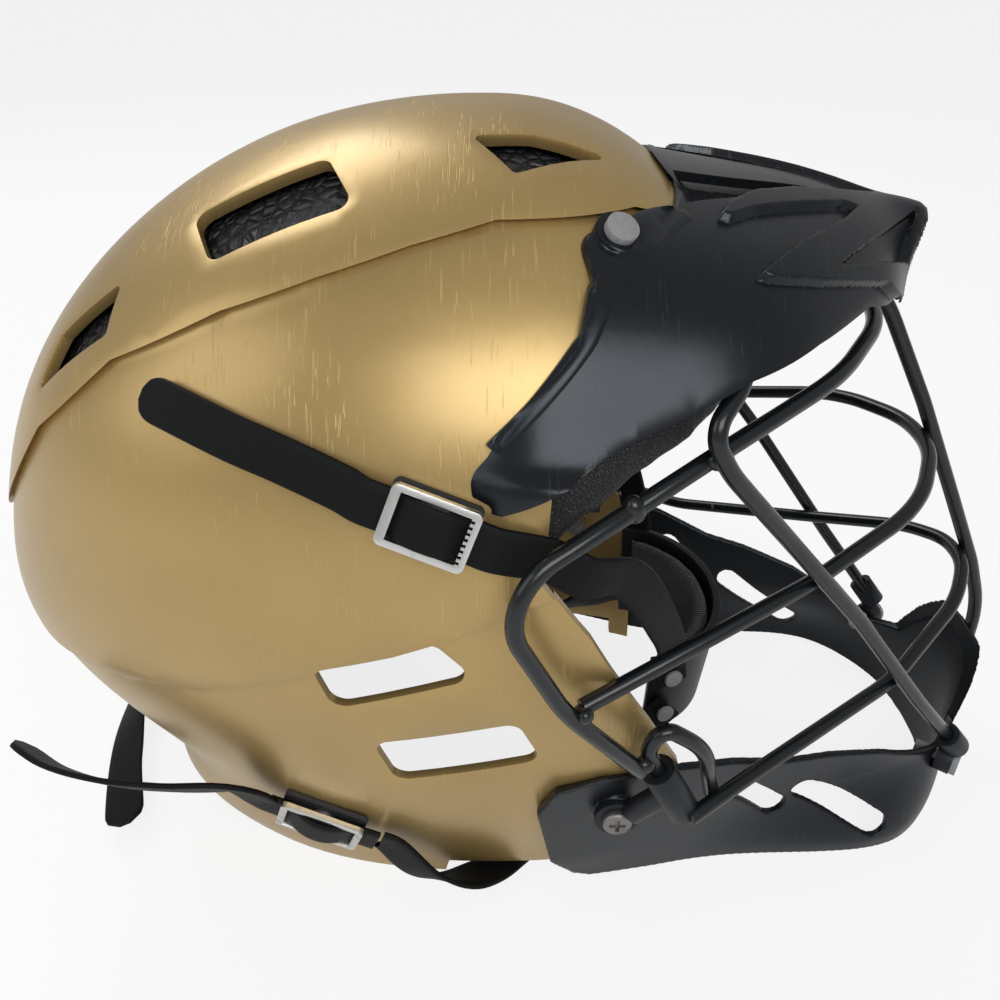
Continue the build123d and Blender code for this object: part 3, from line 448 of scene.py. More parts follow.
def cage_coat():
    tone = colours().coating[:]
    coat = {"Specular_IOR_Level": 0.3, "Coat_Weight": 0.3, "Coat_Roughness": 0.12}
    finish = Finish("cage_coat", tone, 0.28, 0.0, **coat)
    chips = finish.band(finish.grain(130.0, 5.0, 0.6), 0.7, 0.73)
    peel = finish.grain(420.0, 2.0)
    base = finish.mix(chips, shade(tone, 1.0), (0.09, 0.095, 0.1, 1.0))
    finish.set("Base Color", base)
    finish.set("Roughness", 0.24 + chips * 0.3 + peel * 0.08)
    finish.set("Normal", finish.bump(peel * 0.6 - chips * 0.8, 0.00012, 0.55))
    return finish.material


def bead_foam():
    tone = (0.016, 0.016, 0.018)
    finish = Finish("bead_foam", tone, 0.42)
    beads = finish.cells(240.0, feature="SMOOTH_F1")
    cracks = finish.cells(240.0, feature="DISTANCE_TO_EDGE")
    fold = finish.grain(60.0, 4.0, 0.6, distortion=1.2)
    # The crevices between the beads are painted darker and the bead faces lighter: painted shade in
    # the crevices.
    base = finish.mix(finish.band(cracks, 0.0, 0.12), shade(tone, 0.3), shade(tone, 1.6))
    finish.set("Base Color", base)
    finish.set("Roughness", 0.3 + beads * 0.4)
    low = finish.bump(fold, 0.004, 0.6)
    finish.set("Normal", finish.bump(finish.band(cracks, 0.0, 0.3), 0.0011, 0.9, low))
    return finish.material


def grained_vinyl():
    tone = (0.014, 0.014, 0.016)
    finish = Finish("grained_vinyl", tone, 0.45, 0.0, Specular_IOR_Level=0.45)
    grain = finish.cells(900.0, feature="DISTANCE_TO_EDGE")
    crease = finish.grain(70.0, 4.0, 0.6)
    base = finish.mix(finish.band(grain, 0.02, 0.14), shade(tone, 0.5), shade(tone, 1.5))
    finish.set("Base Color", base)
    finish.set("Roughness", 0.38 + crease * 0.2)
    low = finish.bump(crease, 0.0008, 0.5)
    finish.set("Normal", finish.bump(finish.band(grain, 0.0, 0.2), 0.00025, 0.8, low))
    return finish.material


def knit_cover():
    tone = (0.015, 0.015, 0.017)
    finish = Finish("knit_cover", tone, 0.85, 0.0, Sheen_Weight=0.25, Sheen_Roughness=0.5)
    warp = finish.node("ShaderNodeSeparateXYZ", None, {0: finish.place()}, "Y")
    weft = finish.node("ShaderNodeSeparateXYZ", None, {0: finish.place()}, "Z")
    rows = (warp * 5200.0).wave() * (weft * 5200.0).wave()
    fuzz = finish.grain(700.0, 3.0)
    base = finish.mix(rows * 0.4 + 0.4, shade(tone, 0.6), shade(tone, 2.0))
    finish.set("Base Color", base)
    finish.set("Normal", finish.bump(rows + fuzz, 0.00035, 0.7))
    return finish.material


def woven_webbing():
    tone = colours().webbing[:]
    finish = Finish("woven_webbing", tone, 0.55, 0.0, Specular_IOR_Level=0.16)
    flat = finish.node("ShaderNodeUVMap", {"uv_map": "weave"})
    across = finish.node("ShaderNodeSeparateXYZ", None, {0: flat}, "X")
    along = finish.node("ShaderNodeSeparateXYZ", None, {0: flat}, "Y")
    zigzag = (across * 3600.0).wave() * 0.7
    rows = (along * 7800.0 + zigzag).wave()
    ribs = (across * 7200.0).wave().size()
    threads = finish.grain(900.0, 3.0, 0.6)
    height = rows * 0.6 + ribs * 0.5 + threads * 0.5
    base = finish.mix(finish.band(height, 0.0, 1.3), shade(tone, 0.5), shade(tone, 1.9))
    finish.set("Base Color", base)
    finish.set("Roughness", 0.46 + threads * 0.2)
    finish.set("Normal", finish.bump(height, 0.0001, 0.45))
    return finish.material


def brushed_buckle():
    tone = (0.62, 0.62, 0.60)
    finish = Finish("brushed_buckle", tone, 0.3, 1.0)
    lines = finish.grain(1.0, 3.0, 0.6, finish.along((260.0, 260.0, 3600.0), (0.0, 0.4, 0.0)))
    stain = finish.band(finish.grain(160.0, 4.0), 0.55, 0.75)
    finish.set("Base Color", finish.mix(stain * 0.5, shade(tone, 1.0), shade(tone, 0.5)))
    finish.set("Roughness", 0.22 + lines * 0.22 + stain * 0.15)
    finish.set("Normal", finish.bump(lines, 0.00005, 0.5))
    return finish.material


def bright_snap():
    finish = Finish("bright_snap", (0.75, 0.75, 0.74), 0.14, 1.0)
    wear = finish.grain(320.0, 4.0)
    finish.set("Roughness", 0.08 + wear * 0.16)
    finish.set("Normal", finish.bump(wear, 0.00003, 0.4))
    return finish.material


def dark_screw():
    tone = (0.16, 0.155, 0.15)
    finish = Finish("dark_screw", tone, 0.38, 0.9)
    pits = finish.grain(700.0, 5.0, 0.7)
    rust = finish.band(finish.grain(420.0, 4.0), 0.5, 0.7)
    base = finish.mix(rust * 0.6, shade(tone, 1.5), (0.07, 0.045, 0.03, 1.0))
    finish.set("Base Color", base)
    finish.set("Roughness", 0.3 + pits * 0.3)
    finish.set("Normal", finish.bump(pits, 0.0002, 0.8))
    return finish.material


def grey_rivet(name, tone):
    finish = Finish(name, tone, 0.5)
    speck = finish.grain(800.0, 4.0)
    finish.set("Base Color", finish.mix(speck, shade(tone, 0.8), shade(tone, 1.25)))
    finish.set("Roughness", 0.4 + speck * 0.2)
    finish.set("Normal", finish.bump(speck, 0.00008, 0.5))
    return finish.material


def soft_rubber():
    tone = (0.018, 0.018, 0.019)
    finish = Finish("soft_rubber", tone, 0.7)
    dust = finish.grain(500.0, 4.0)
    finish.set("Base Color", finish.mix(dust, shade(tone, 0.7), shade(tone, 1.8)))
    finish.set("Roughness", 0.58 + dust * 0.25)
    finish.set("Normal", finish.bump(dust, 0.00015, 0.6))
    return finish.material


FINISHES = {}


def make_finishes():
    plastic = colours().plastic[:]
    FINISHES.update(
        shell_gold=shell_paint(),
        bead_foam=bead_foam(),
        pad_vinyl=grained_vinyl(),
        visor_black=gloss_plastic("visor_plastic", plastic, 0.26),
        guard_black=gloss_plastic("guard_plastic", shade(plastic, 1.15)[:3], 0.33, 0.5),
        clip_black=gloss_plastic("clip_plastic", shade(plastic, 1.3)[:3], 0.45, 0.2),
        cup_black=gloss_plastic("cup_plastic", plastic, 0.36),
        rivet_grey=grey_rivet("rivet_grey", (0.24, 0.245, 0.25)),
        cage_coating=cage_coat(),
        screw_steel=dark_screw(),
        stud_chrome=bright_snap(),
        buckle_steel=brushed_buckle(),
        backing_rubber=soft_rubber(),
        cup_pad=knit_cover(),
        webbing=woven_webbing(),
    )


def node_slots():
    return {entry["node"]: entry["material_slot"] for entry in frame["record"]["subparts"]}


def wires():
    return [node for node, slot in node_slots().items() if slot == "cage_coating"]


def node_body(node):
    for body, members in frame["record"]["behaviour"]["bodies"].items():
        if node in members:
            return body
    raise RuntimeError("no body holds " + node)


def only(piece):
    """Selects one piece alone and makes it active."""
    bpy.ops.object.select_all(action="DESELECT")
    piece.select_set(True)
    bpy.context.view_layer.objects.active = piece


def apply(piece, kind, **settings):
    """Adds one modifier and applies it."""
    only(piece)
    modifier = piece.modifiers.new("shape", kind)
    for key, value in settings.items():
        setattr(modifier, key, value)
    bpy.ops.object.modifier_apply(modifier=modifier.name)


def skin(piece):
    """The places and normals of a piece's points, as rows of numbers."""
    rows = []
    for kind in ("co", "normal"):
        flat = numpy.empty(3 * len(piece.data.vertices))
        piece.data.vertices.foreach_get(kind, flat)
        rows.append(flat.reshape(-1, 3))
    return rows


def reshape(piece, places):
    """Moves a piece's points to new places."""
    piece.data.vertices.foreach_set("co", places.ravel())
    piece.data.update()


def seen(places):
    """The pixels of places on the right side, or of their mirror images."""
    turn = Matrix.Rotation(LOOK_ASIDE, 3, "Z") @ Matrix.Rotation(math.pi / 2 - LOOK_DOWN, 3, "X")
    near = places * numpy.where(places[:, 1:2] > 0, (1, -1, 1), (1, 1, 1))
    view = (near - numpy.array(EYE)) @ numpy.array(turn)
    return MIDDLE - FOCUS * view[:, 0] / view[:, 2], MIDDLE + FOCUS * view[:, 1] / view[:, 2]


def from_line(x, y, line):
    """How far points lie from an open line."""
    nearest = numpy.full(len(x), 1e9)
    for (ax, ay), (bx, by) in zip(line, line[1:]):
        dx, dy = bx - ax, by - ay
        share = numpy.clip(((x - ax) * dx + (y - ay) * dy) / (dx * dx + dy * dy), 0, 1)
        nearest = numpy.minimum(nearest, numpy.hypot(x - ax - dx * share, y - ay - dy * share))
    return nearest


def depth_in(x, y, outline):
    """How far inside an outline points lie, below zero outside it."""
    inside = numpy.zeros(len(x), bool)
    for (ax, ay), (bx, by) in zip(outline, outline[1:] + outline[:1]):
        if ay != by:
            crosses = ((ay > y) != (by > y)) & (x < (bx - ax) * (y - ay) / (by - ay) + ax)
            inside ^= crosses
    distance = from_line(x, y, outline + outline[:1])
    return numpy.where(inside, distance, -distance)


def eased(value):
    """A soft step from 0 to 1 between -1 and 1."""
    share = numpy.clip(value / 2 + 0.5, 0, 1)
    return share * share * (3 - 2 * share)


def soft_step(value, step):
    """A soft step from 0 to 1 round its middle, over half its length each way."""
    middle, half = step
    return eased((value - middle) / half)


def fine_copy(node, name, voxel, rounds):
    """A copy of a CAD node's mesh in even small faces, its edges a little rounded."""
    piece = merged_copy(node, name)
    piece.data.remesh_voxel_size = voxel
    only(piece)
    bpy.ops.object.voxel_remesh()
    apply(piece, "SMOOTH", factor=0.5, iterations=rounds)
    return piece


def new_piece(name, points, faces):
    """A new mesh piece whose faces all look the same way."""
    mesh = bpy.data.meshes.new(name)
    mesh.from_pydata(points, [], faces)
    piece = bpy.data.objects.new(name, mesh)
    bpy.context.collection.objects.link(piece)
    only(piece)
    bpy.ops.object.mode_set(mode="EDIT")
    bpy.ops.mesh.select_all(action="SELECT")
    bpy.ops.mesh.normals_make_consistent(inside=False)
    bpy.ops.object.mode_set(mode="OBJECT")
    return piece


def keep_points(piece, wanted):
    """Deletes every point of a piece that isn't wanted."""
    only(piece)
    bpy.ops.object.mode_set(mode="EDIT")
    bpy.ops.mesh.select_mode(type="VERT")
    bpy.ops.mesh.select_all(action="DESELECT")
    bpy.ops.object.mode_set(mode="OBJECT")
    piece.data.vertices.foreach_set("select", [not want for want in wanted])
    bpy.ops.object.mode_set(mode="EDIT")
    bpy.ops.mesh.delete(type="VERT")
    bpy.ops.object.mode_set(mode="OBJECT")


def prism(name, outline, low, high):
    """A closed upright block over an outline seen from above."""
    count = len(outline)
    points = [(x, y, low) for x, y in outline] + [(x, y, high) for x, y in outline]
    faces = [tuple(range(count)), tuple(range(2 * count - 1, count - 1, -1))]
    faces += [(i, i + count, (i + 1) % count + count, (i + 1) % count) for i in range(count)]
    return new_piece(name, points, faces)


def outer_points(places, normals):
    """Which points lie on the outside of the visor."""
    outward = places - VISOR_MIDDLE
    outward[:, 0] *= VISOR_FLATNESS
    return (normals * outward).sum(axis=1) > 0


def settle(piece, body, slot, *nodes):
    """Gives a finished piece its finish, body and CAD node."""
    only(piece)
    bpy.ops.object.transform_apply(location=True, rotation=True, scale=True)
    piece.data.materials.clear()
    piece.data.materials.append(FINISHES[slot])
    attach(piece, body)
    if nodes:
        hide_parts(*nodes)
    return piece


def merged_copy(node, name):
    """A welded copy of a CAD node's mesh as a new piece."""
    piece = bpy.data.objects.new(name, frame["nodes"][node].data.copy())
    bpy.context.collection.objects.link(piece)
    only(piece)
    bpy.ops.object.mode_set(mode="EDIT")
    bpy.ops.mesh.select_all(action="SELECT")
    bpy.ops.mesh.remove_doubles(threshold=0.00002)
    bpy.ops.object.mode_set(mode="OBJECT")
    if piece.data.has_custom_normals:
        bpy.ops.mesh.customdata_custom_splitnormals_clear()
    return piece


def moulded(node, name, bevel, angle=32):
    """A moulding with rounded edges in place of a CAD node."""
    piece = merged_copy(node, name)
    if bevel:
        apply(
            piece, "BEVEL", width=bevel, segments=2, limit_method="ANGLE",
            angle_limit=math.radians(angle), use_clamp_overlap=True,
        )
    bpy.ops.object.shade_smooth_by_angle(angle=math.radians(40))
    return settle(piece, node_body(node), node_slots()[node], node)


def blended(points, samples):
    """A smooth line through points, with the samples in each span."""
    line = []
    for index in range(len(points) - 1):
        before = points[max(0, index - 1)]
        start, end = points[index], points[index + 1]
        after = points[min(len(points) - 1, index + 2)]
        span = (end - start).length
        span_in = max(0.3 * span, (start - before).length)
        span_out = max(0.3 * span, (after - end).length)
        lead_in = (end - before) * (span / (span + span_in)) if index else end - start
        lead_out = (after - start) * (span / (span + span_out))
        if index == len(points) - 2:
            lead_out = end - start
        for step in range(samples):
            t = step / samples
            a = 2 * t**3 - 3 * t**2 + 1
            b = t**3 - 2 * t**2 + t
            c = 3 * t**2 - 2 * t**3
            d = t**3 - t**2
            line.append(start * a + lead_in * b + end * c + lead_out * d)
    line.append(points[-1].copy())
    return line


def turned(ways, samples):
    """Directions that swing evenly from each one to the next."""
    swing = []
    for start, end in zip(ways, ways[1:]):
        for step in range(samples):
            t = step / samples
            swing.append(start.lerp(end, t * t * (3 - 2 * t)).normalized())
    swing.append(ways[-1].normalized())
    return swing


def strap_ring(half, edge):
    """A strap's section: how far across, and how deep in shares of its thickness."""
    top = (
        (-half, 0), (-half + edge * 0.3, 0.36), (-half + edge, 0.5), (-half * 0.5, 0.5), (0, 0.5),
        (half * 0.5, 0.5), (half - edge, 0.5), (half - edge * 0.3, 0.36), (half, 0),
    )
    return top + tuple((x, -y) for x, y in reversed(top[1:-1]))


def tip_width(run, round_off):
    """The share of a strap's width at a distance from its rounded tip."""
    share = max(0.0, 1 - run / round_off)
    return 0.3 + 0.7 * math.sqrt(1 - share * share)


def webbing(name, route, width, thickness, mirror=False, samples=6, tip=True):
    """A flat woven strap along its route, with a rolled edge and a weave map."""
    side = Vector((1, -1, 1)) if mirror else Vector((1, 1, 1))
    line = blended([place * side for place, _ in route], samples)
    ways = turned([way * side for _, way in route], samples)
    half = width / 2
    ring = strap_ring(half, thickness * 0.42)
    count = len(ring)
    vertices = []
    lengths = []
    run = 0.0
    for index, centre in enumerate(line):
        along = line[min(len(line) - 1, index + 1)] - line[max(0, index - 1)]
        along.normalize()
        across = along.cross(ways[index]).normalized()
        facing = across.cross(along).normalized()
        if index:
            run += (centre - line[index - 1]).length
        lengths.append(run)
        narrow = tip_width(run, half * 0.9) if tip else 1.0
        for x, y in ring:
            vertices.append(centre + across * x * narrow + facing * y * thickness)
    faces = []
    for index in range(len(line) - 1):
        for place in range(count):
            low = index * count + place
            following = index * count + (place + 1) % count
            faces.append((low, following, following + count, low + count))
    last = (len(line) - 1) * count
    faces.append(tuple(reversed(range(count))))
    faces.append(tuple(range(last, last + count)))
    piece = new_piece(name, vertices, faces)
    middle = len(line) // 2
    rim = piece.data.polygons[middle * count]
    if rim.normal.dot(rim.center - line[middle]) < 0:
        piece.data.flip_normals()
    layer = piece.data.uv_layers.new(name="weave")
    for loop in piece.data.loops:
        across = ring[loop.vertex_index % count][0]
        layer.data[loop.index].uv = (across, lengths[loop.vertex_index // count])
    only(piece)
    bpy.ops.object.shade_smooth_by_angle(angle=math.radians(50))
    return piece


def share_place(shares):
    """A place from its shares of the helmet's reach, half width and height."""
    reach = FRONT_REACH if shares[0] > 0 else REAR_REACH
    return Vector((EAR_LINE + reach * shares[0], HALF_WIDTH * shares[1], HEIGHT * shares[2]))


def free_rows(spots):
    """Strap rows at places off the shell."""
    return [(share_place(shares), Vector(way)) for shares, way in spots]


def shell_rows(spots):
    """Strap rows that lie on the shell's right side."""
    skin_tree = solid_tree("outer_shell")
    rows = []
    for x_share, z_share, out in spots:
        start = share_place((x_share, -2, z_share))
        place, normal, _, _ = skin_tree.ray_cast(start, Vector((0, 1, 0)))
        if place is None or place.y > 0:
            raise RuntimeError("a strap row misses the shell")
        rows.append((place - Vector((0, out, 0)), normal))
    return rows


def buckle_row(node, facing, lean, ahead, lift):
    """One strap row at a distance along a buckle and a height over its plate."""
    low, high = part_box(node)
    forward = Vector((math.cos(lean), 0, -math.sin(lean)))
    along = (forward - facing * forward.dot(facing)).normalized()
    return (low + high) / 2 + along * ahead + facing * lift, facing


def threaded(node, facing, lean, length):
    """The rows of a strap that is threaded through a buckle."""
    half = length / 2
    steps = (
        (-half - RUN_OUT, -PLATE_LIFT - RUN_OUT_DROP), (-half, -PLATE_LIFT),
        (END_BAR - half, -PLATE_LIFT), (-MIDDLE_BAR, PLATE_LIFT), (MIDDLE_BAR, PLATE_LIFT),
        (half - END_BAR, -PLATE_LIFT), (half, -PLATE_LIFT),
        (half + RUN_OUT, -PLATE_LIFT - RUN_OUT_DROP),
    )
    return [buckle_row(node, facing, lean, ahead, lift) for ahead, lift in steps]


def swivel_axis(side):
    """The way a lower snap faces, which is its swivel's axis."""
    for joint in frame["record"]["behaviour"]["joints"]:
        if joint["name"] == "lower_" + side + "_swivel":
            return Vector(joint["axis"])
    raise RuntimeError("no swivel on the " + side)


def upper_route():
    """The right upper strap, from its loose end to the cup."""
    buckle = threaded("upper_right_buckle", UPPER_FACING.normalized(), UPPER_LEAN, UPPER_BUCKLE)
    return shell_rows(UPPER_TAIL) + buckle + free_rows(UPPER_FREE)


def lower_route():
    """The right lower strap, from its buckle under the rim to the cup."""
    facing = swivel_axis("right")
    ahead = LOWER_BUCKLE / 2 + RUN_OUT + STRAP_GAP
    rows = []
    for lead in (0, STRAP_LEAD):
        rows.append(
            buckle_row("lower_right_buckle", facing, LOWER_LEAN, ahead + lead, -STRAP_DROP)
        )
    return rows + free_rows(LOWER_FREE)


def left_tail_route():
    """The long loose end of the left lower strap, from its buckle round the nape."""
    behind = -LOWER_BUCKLE / 2 - RUN_OUT - STRAP_GAP
    facing = swivel_axis("left")
    start = buckle_row("lower_left_buckle", facing, LOWER_LEAN, behind, -STRAP_DROP)
    return [start] + free_rows(LEFT_TAIL)


def solid_tree(node):
    """A CAD node's mesh made ready for rays."""
    mesh = frame["nodes"][node].data
    return BVHTree.FromPolygons([v.co for v in mesh.vertices], [p.vertices for p in mesh.polygons])


def outermost(skins, pixel):
    """The place and normal where the photograph's ray through a pixel meets a skin, and which."""
    turn = Matrix.Rotation(LOOK_ASIDE, 3, "Z") @ Matrix.Rotation(math.pi / 2 - LOOK_DOWN, 3, "X")
    ray = turn @ Vector(((pixel.x - MIDDLE) / FOCUS, (MIDDLE - pixel.y) / FOCUS, -1)).normalized()
    nearest = None
    for kind, skin_tree in enumerate(skins):
        place, normal, _, distance = skin_tree.ray_cast(EYE, ray)
        if place is not None and (nearest is None or distance < nearest[3]):
            nearest = (place, normal if normal.dot(ray) < 0 else -normal, kind, distance)
    if nearest is None:
        raise RuntimeError("the visor's edge misses the helmet at " + str(pixel))
    return nearest[:3]


def stuffed(node, name, cap, fill):
    """A padded piece swollen by cloth pressure from its CAD shape."""
    piece = merged_copy(node, name)
    piece.data.remesh_voxel_size = sizes().pad_voxel
    only(piece)
    bpy.ops.object.voxel_remesh()
    rest = [vertex.co.copy() for vertex in piece.data.vertices]
    cloth = piece.modifiers.new("pressure", "CLOTH")
    cloth.settings.use_pressure = True
    cloth.settings.uniform_pressure_force = CLOTH_PRESSURE
    cloth.settings.effector_weights.gravity = 0
    for step in range(1, CLOTH_FRAMES + 1):
        bpy.context.scene.frame_set(step)
    pressed = piece.evaluated_get(bpy.context.evaluated_depsgraph_get()).to_mesh()
    moved = [vertex.co.copy() for vertex in pressed.vertices]
    piece.modifiers.remove(cloth)
    bpy.context.scene.frame_set(1)
    for vertex, start, end in zip(piece.data.vertices, rest, moved):
        shift = end - start
        outward = (start - HEAD_MIDDLE).normalized()
        if shift.dot(outward) > 0:
            shift -= outward * shift.dot(outward)
        if shift.length > cap:
            shift *= cap / shift.length
        vertex.co = start + shift
    apply(piece, "CORRECTIVE_SMOOTH", factor=0.5, iterations=4, use_only_smooth=True)
    apply(piece, "SUBSURF", levels=1, render_levels=1)
    only(piece)
    bpy.ops.object.shade_smooth()
    settle(piece, node_body(node), node_slots()[node], node)
    return piece


class HELMET_OT_finishes(Operator):
    """Makes the finishes and gives each CAD node its own"""

    bl_idname = "helmet.finishes"
    bl_label = "Finishes"

    def execute(self, context):
        make_finishes()
        for node, slot in node_slots().items():
            piece = frame["nodes"][node]
            piece.data.materials.clear()
            piece.data.materials.append(FINISHES[slot])
        return {"FINISHED"}


class HELMET_OT_shell(Operator):
    """Moulds the outer shell with softened vent and rim edges"""

    bl_idname = "helmet.shell"
    bl_label = "Outer shell"

    def execute(self, context):
        moulded("outer_shell", "shell_moulding", sizes().edge_round * 1.4, 28)
        return {"FINISHED"}


class HELMET_OT_mouldings(Operator):
    """Rounds the edges of the cup, clips, rivets, screws and buckles"""

    bl_idname = "helmet.mouldings"
    bl_label = "Mouldings"

    def execute(self, context):
        edge = sizes().edge_round
        moulded("chin_cup", "cup_moulding", edge * 1.4, 30)
        for node in ("right_side_clip", "left_side_clip", "chin_clips"):
            moulded(node, node + "_moulding", edge, 34)
        for node in ("visor_rivets", "chin_rivets", "clip_screws", "cup_rivets"):
            moulded(node, node + "_piece", edge * 0.6, 40)
        for node in (
            "upper_right_buckle", "upper_left_buckle", "lower_right_buckle", "lower_left_buckle",
        ):
            moulded(node, node + "_plate", edge * 0.5, 40)
        return {"FINISHED"}


def carved_visor():
    """The visor's moulding with the channels beside its spine cut out."""
    body = moulded("visor", "visor_moulding", sizes().edge_round * 1.4, 28)
    for turn in (1, -1):
        outline = [(x, y * turn) for x, y in SIDE_CHANNEL]
        cutter = prism("channel_cutter", outline, *CHANNEL_LEVELS)
        apply(body, "BOOLEAN", object=cutter, operation="DIFFERENCE", solver="EXACT")
        bpy.data.objects.remove(cutter)
    only(body)
    bpy.ops.object.shade_smooth_by_angle(angle=math.radians(34))


def visor_skin(piece, places, wanted):
    """Moves a skin's points, keeps the wanted ones, and gives it a wall."""
    reshape(piece, places)
    keep_points(piece, wanted)
    apply(piece, "SOLIDIFY", thickness=SKIN_WALL, offset=-1.0)
    only(piece)
    bpy.ops.object.shade_smooth_by_angle(angle=math.radians(60))
    settle(piece, "helmet", "visor_black")


def raised_front():
    """The visor's raised front and the recess at its tip."""
    piece = fine_copy("visor", "visor_front", RELIEF_VOXEL, 2)
    places, normals = skin(piece)
    x, y = seen(places)
    inset = depth_in(x, y, RAISED_FRONT)
    wanted = outer_points(places, normals) & (inset > -RELIEF_MARGIN)
    rise = RAISED_HEIGHT * eased(inset / RAISED_SLOPE)
    fall = RECESS_DEPTH * eased(depth_in(x, y, FRONT_RECESS) / RECESS_SLOPE)
    visor_skin(piece, places + normals * (rise - fall - RELIEF_SINK)[:, None], wanted)


def channel_floor():
    """The sunk floors of the channels beside the visor's spine."""
    piece = fine_copy("visor", "visor_channel", CHANNEL_VOXEL, 2)
    places, normals = skin(piece)
    inset = depth_in(places[:, 0], numpy.abs(places[:, 1]), SIDE_CHANNEL)
    outside = outer_points(places, normals)
    wanted = outside & (inset > -CHANNEL_MARGIN) & (places[:, 2] > WING_TOP)
    run_up = (CHANNEL_FRONT - places[:, 0]) / CHANNEL_RUN_UP
    run_off = (places[:, 0] - CHANNEL_REAR) / CHANNEL_RUN_OFF
    places[:, 2] -= CHANNEL_DEPTH * numpy.clip(numpy.minimum(run_up, run_off), 0.3, 1)
    visor_skin(piece, places, wanted)


class HELMET_OT_visor(Operator):
    """Carves the visor's spine, channel, raised front and recess"""

    bl_idname = "helmet.visor"
    bl_label = "Visor"

    def execute(self, context):
        carved_visor()
        raised_front()
        channel_floor()
        return {"FINISHED"}


def edge_rows():
    """Rows of places across the visor's rear edge, flush with the wing and proud of the shell."""
    skins = [solid_tree(node) for node in ("outer_shell", "visor")]
    lines = []
    for spots in (REAR_EDGE, REAR_INNER):
        lines.append(blended([Vector((x, y, 0)) for x, y in spots], 6))
    rows = []
    for outer, inner in zip(*lines):
        row = []
        for share, lift in zip(EDGE_SHARES, EDGE_LIFTS):
            place, normal, kind = outermost(skins, outer.lerp(inner, share))
            row.append(place + normal * (lift + (EDGE_COVER if kind else EDGE_STAND)))
        rows.append(row)
    return rows


class HELMET_OT_visor_edge(Operator):
    """Lays the flat rear edge of the visor along the shell on both sides"""

    bl_idname = "helmet.visor_edge"
    bl_label = "Visor edge"

    def execute(self, context):
        rows = edge_rows()
        wide = len(EDGE_SHARES)
        faces = []
        for index in range(len(rows) - 1):
            for step in range(wide - 1):
                low = index * wide + step
                faces.append((low, low + 1, low + wide + 1, low + wide))
        for turn, name in ((1, "right"), (-1, "left")):
            points = [(place.x, place.y * turn, place.z) for row in rows for place in row]
            piece = new_piece("visor_edge_" + name, points, faces)
            middle = piece.data.polygons[len(faces) // 2]
            if middle.normal.y * middle.center.y < 0:
                piece.data.flip_normals()
            apply(piece, "SMOOTH", factor=0.5, iterations=3)
            apply(piece, "SOLIDIFY", thickness=SKIN_WALL, offset=-1.0)
            apply(
                piece, "BEVEL", width=EDGE_ROUND, segments=2, limit_method="ANGLE",
                angle_limit=0.5,
            )
            only(piece)
            bpy.ops.object.shade_smooth_by_angle(angle=math.radians(50))
            settle(piece, "helmet", "visor_black")
        return {"FINISHED"}


class HELMET_OT_chin_guard(Operator):
    """Swells the chin guard's lower front into its rounded lobe"""

    bl_idname = "helmet.chin_guard"
    bl_label = "Chin guard"

    def execute(self, context):
        piece = fine_copy("chin_guard", "guard_moulding", GUARD_VOXEL, 2)
        places, _ = skin(piece)
        x, y, z = places.T
        lobe = (1 - soft_step(z, LOBE_TOP)) * soft_step(x, LOBE_REAR)
        lobe *= 1 - LOBE_FADE * soft_step(x, LOBE_NOSE)
        swell = LOBE_SWELL * lobe * numpy.clip(numpy.abs(y) / NOSE_HALF_WIDTH, 0, 1)
        heel = (1 - soft_step(x, HEEL_FRONT)) * (1 - soft_step(z, HEEL_TOP))
        moved = [x, y + numpy.sign(y) * swell, z + HEEL_LIFT * heel]
        reshape(piece, numpy.stack(moved, axis=1))
        only(piece)
        bpy.ops.object.shade_smooth()
        settle(piece, "helmet", "guard_black", "chin_guard")
        return {"FINISHED"}


def meetings(points, tree):
    """Groups of places where one wire's points come close to another wire."""
    groups = []
    for point in points:
        near, _, distance = tree.find(point)
        if distance > WELD_REACH:
            continue
        spot = (point + near) / 2
        for group in groups:
            if (group[0] - spot).length < WELD_APART:
                group.append(spot)
                break
        else:
            groups.append([spot])
    return groups


def weld(name, place, along):
    """A small weld bead, longer along its wire."""
    bpy.ops.object.select_all(action="DESELECT")
    bpy.ops.mesh.primitive_uv_sphere_add(segments=20, ring_count=12, radius=WELD_RADIUS)
    bead = bpy.context.active_object
    bead.name = name
    bead.scale = (1.0, 1.0, WELD_STRETCH)
    bead.rotation_euler = along.to_track_quat("Z", "Y").to_euler()
    bead.location = place
    bpy.ops.object.transform_apply(location=True, rotation=True, scale=True)
    bpy.ops.object.shade_smooth()
    settle(bead, "helmet", "cage_coating")


class HELMET_OT_welds(Operator):
    """Adds the weld beads where the wires of the cage meet"""

    bl_idname = "helmet.welds"
    bl_label = "Welds"

    def execute(self, context):
        trees = {}
        for node in wires():
            points = [vertex.co.copy() for vertex in frame["nodes"][node].data.vertices]
            tree = KDTree(len(points))
            for index, point in enumerate(points):
                tree.insert(point, index)
            tree.balance()
            trees[node] = (points, tree)
        count = 0
        for index, first in enumerate(wires()):
            for second in wires()[index + 1:]:
                for group in meetings(trees[first][0], trees[second][1]):
                    middle = sum(group, Vector()) / len(group)
                    along = group[-1] - group[0] + Vector((0, 0, 1e-5))
                    count += 1
                    weld("weld_" + str(count), middle, along)
        return {"FINISHED"}


class HELMET_OT_cage(Operator):
    """Smooths the bent wires of the face cage"""

    bl_idname = "helmet.cage"
    bl_label = "Face cage"

    def execute(self, context):
        for node in wires():
            moulded(node, node + "_wire", sizes().edge_round, 50)
        return {"FINISHED"}


class HELMET_OT_pads(Operator):
    """Stuffs the brow, nape, jaw and cup pads"""

    bl_idname = "helmet.pads"
    bl_label = "Pads"

    def execute(self, context):
        for pad in PADS:
            stuffed(*pad)
        return {"FINISHED"}


def crossing(piece, node, start, end):
    """Gives a strap that runs from one body to another its finish, and hides its CAD node."""
    piece.data.materials.append(FINISHES["webbing"])
    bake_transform(piece)
    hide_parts(node)


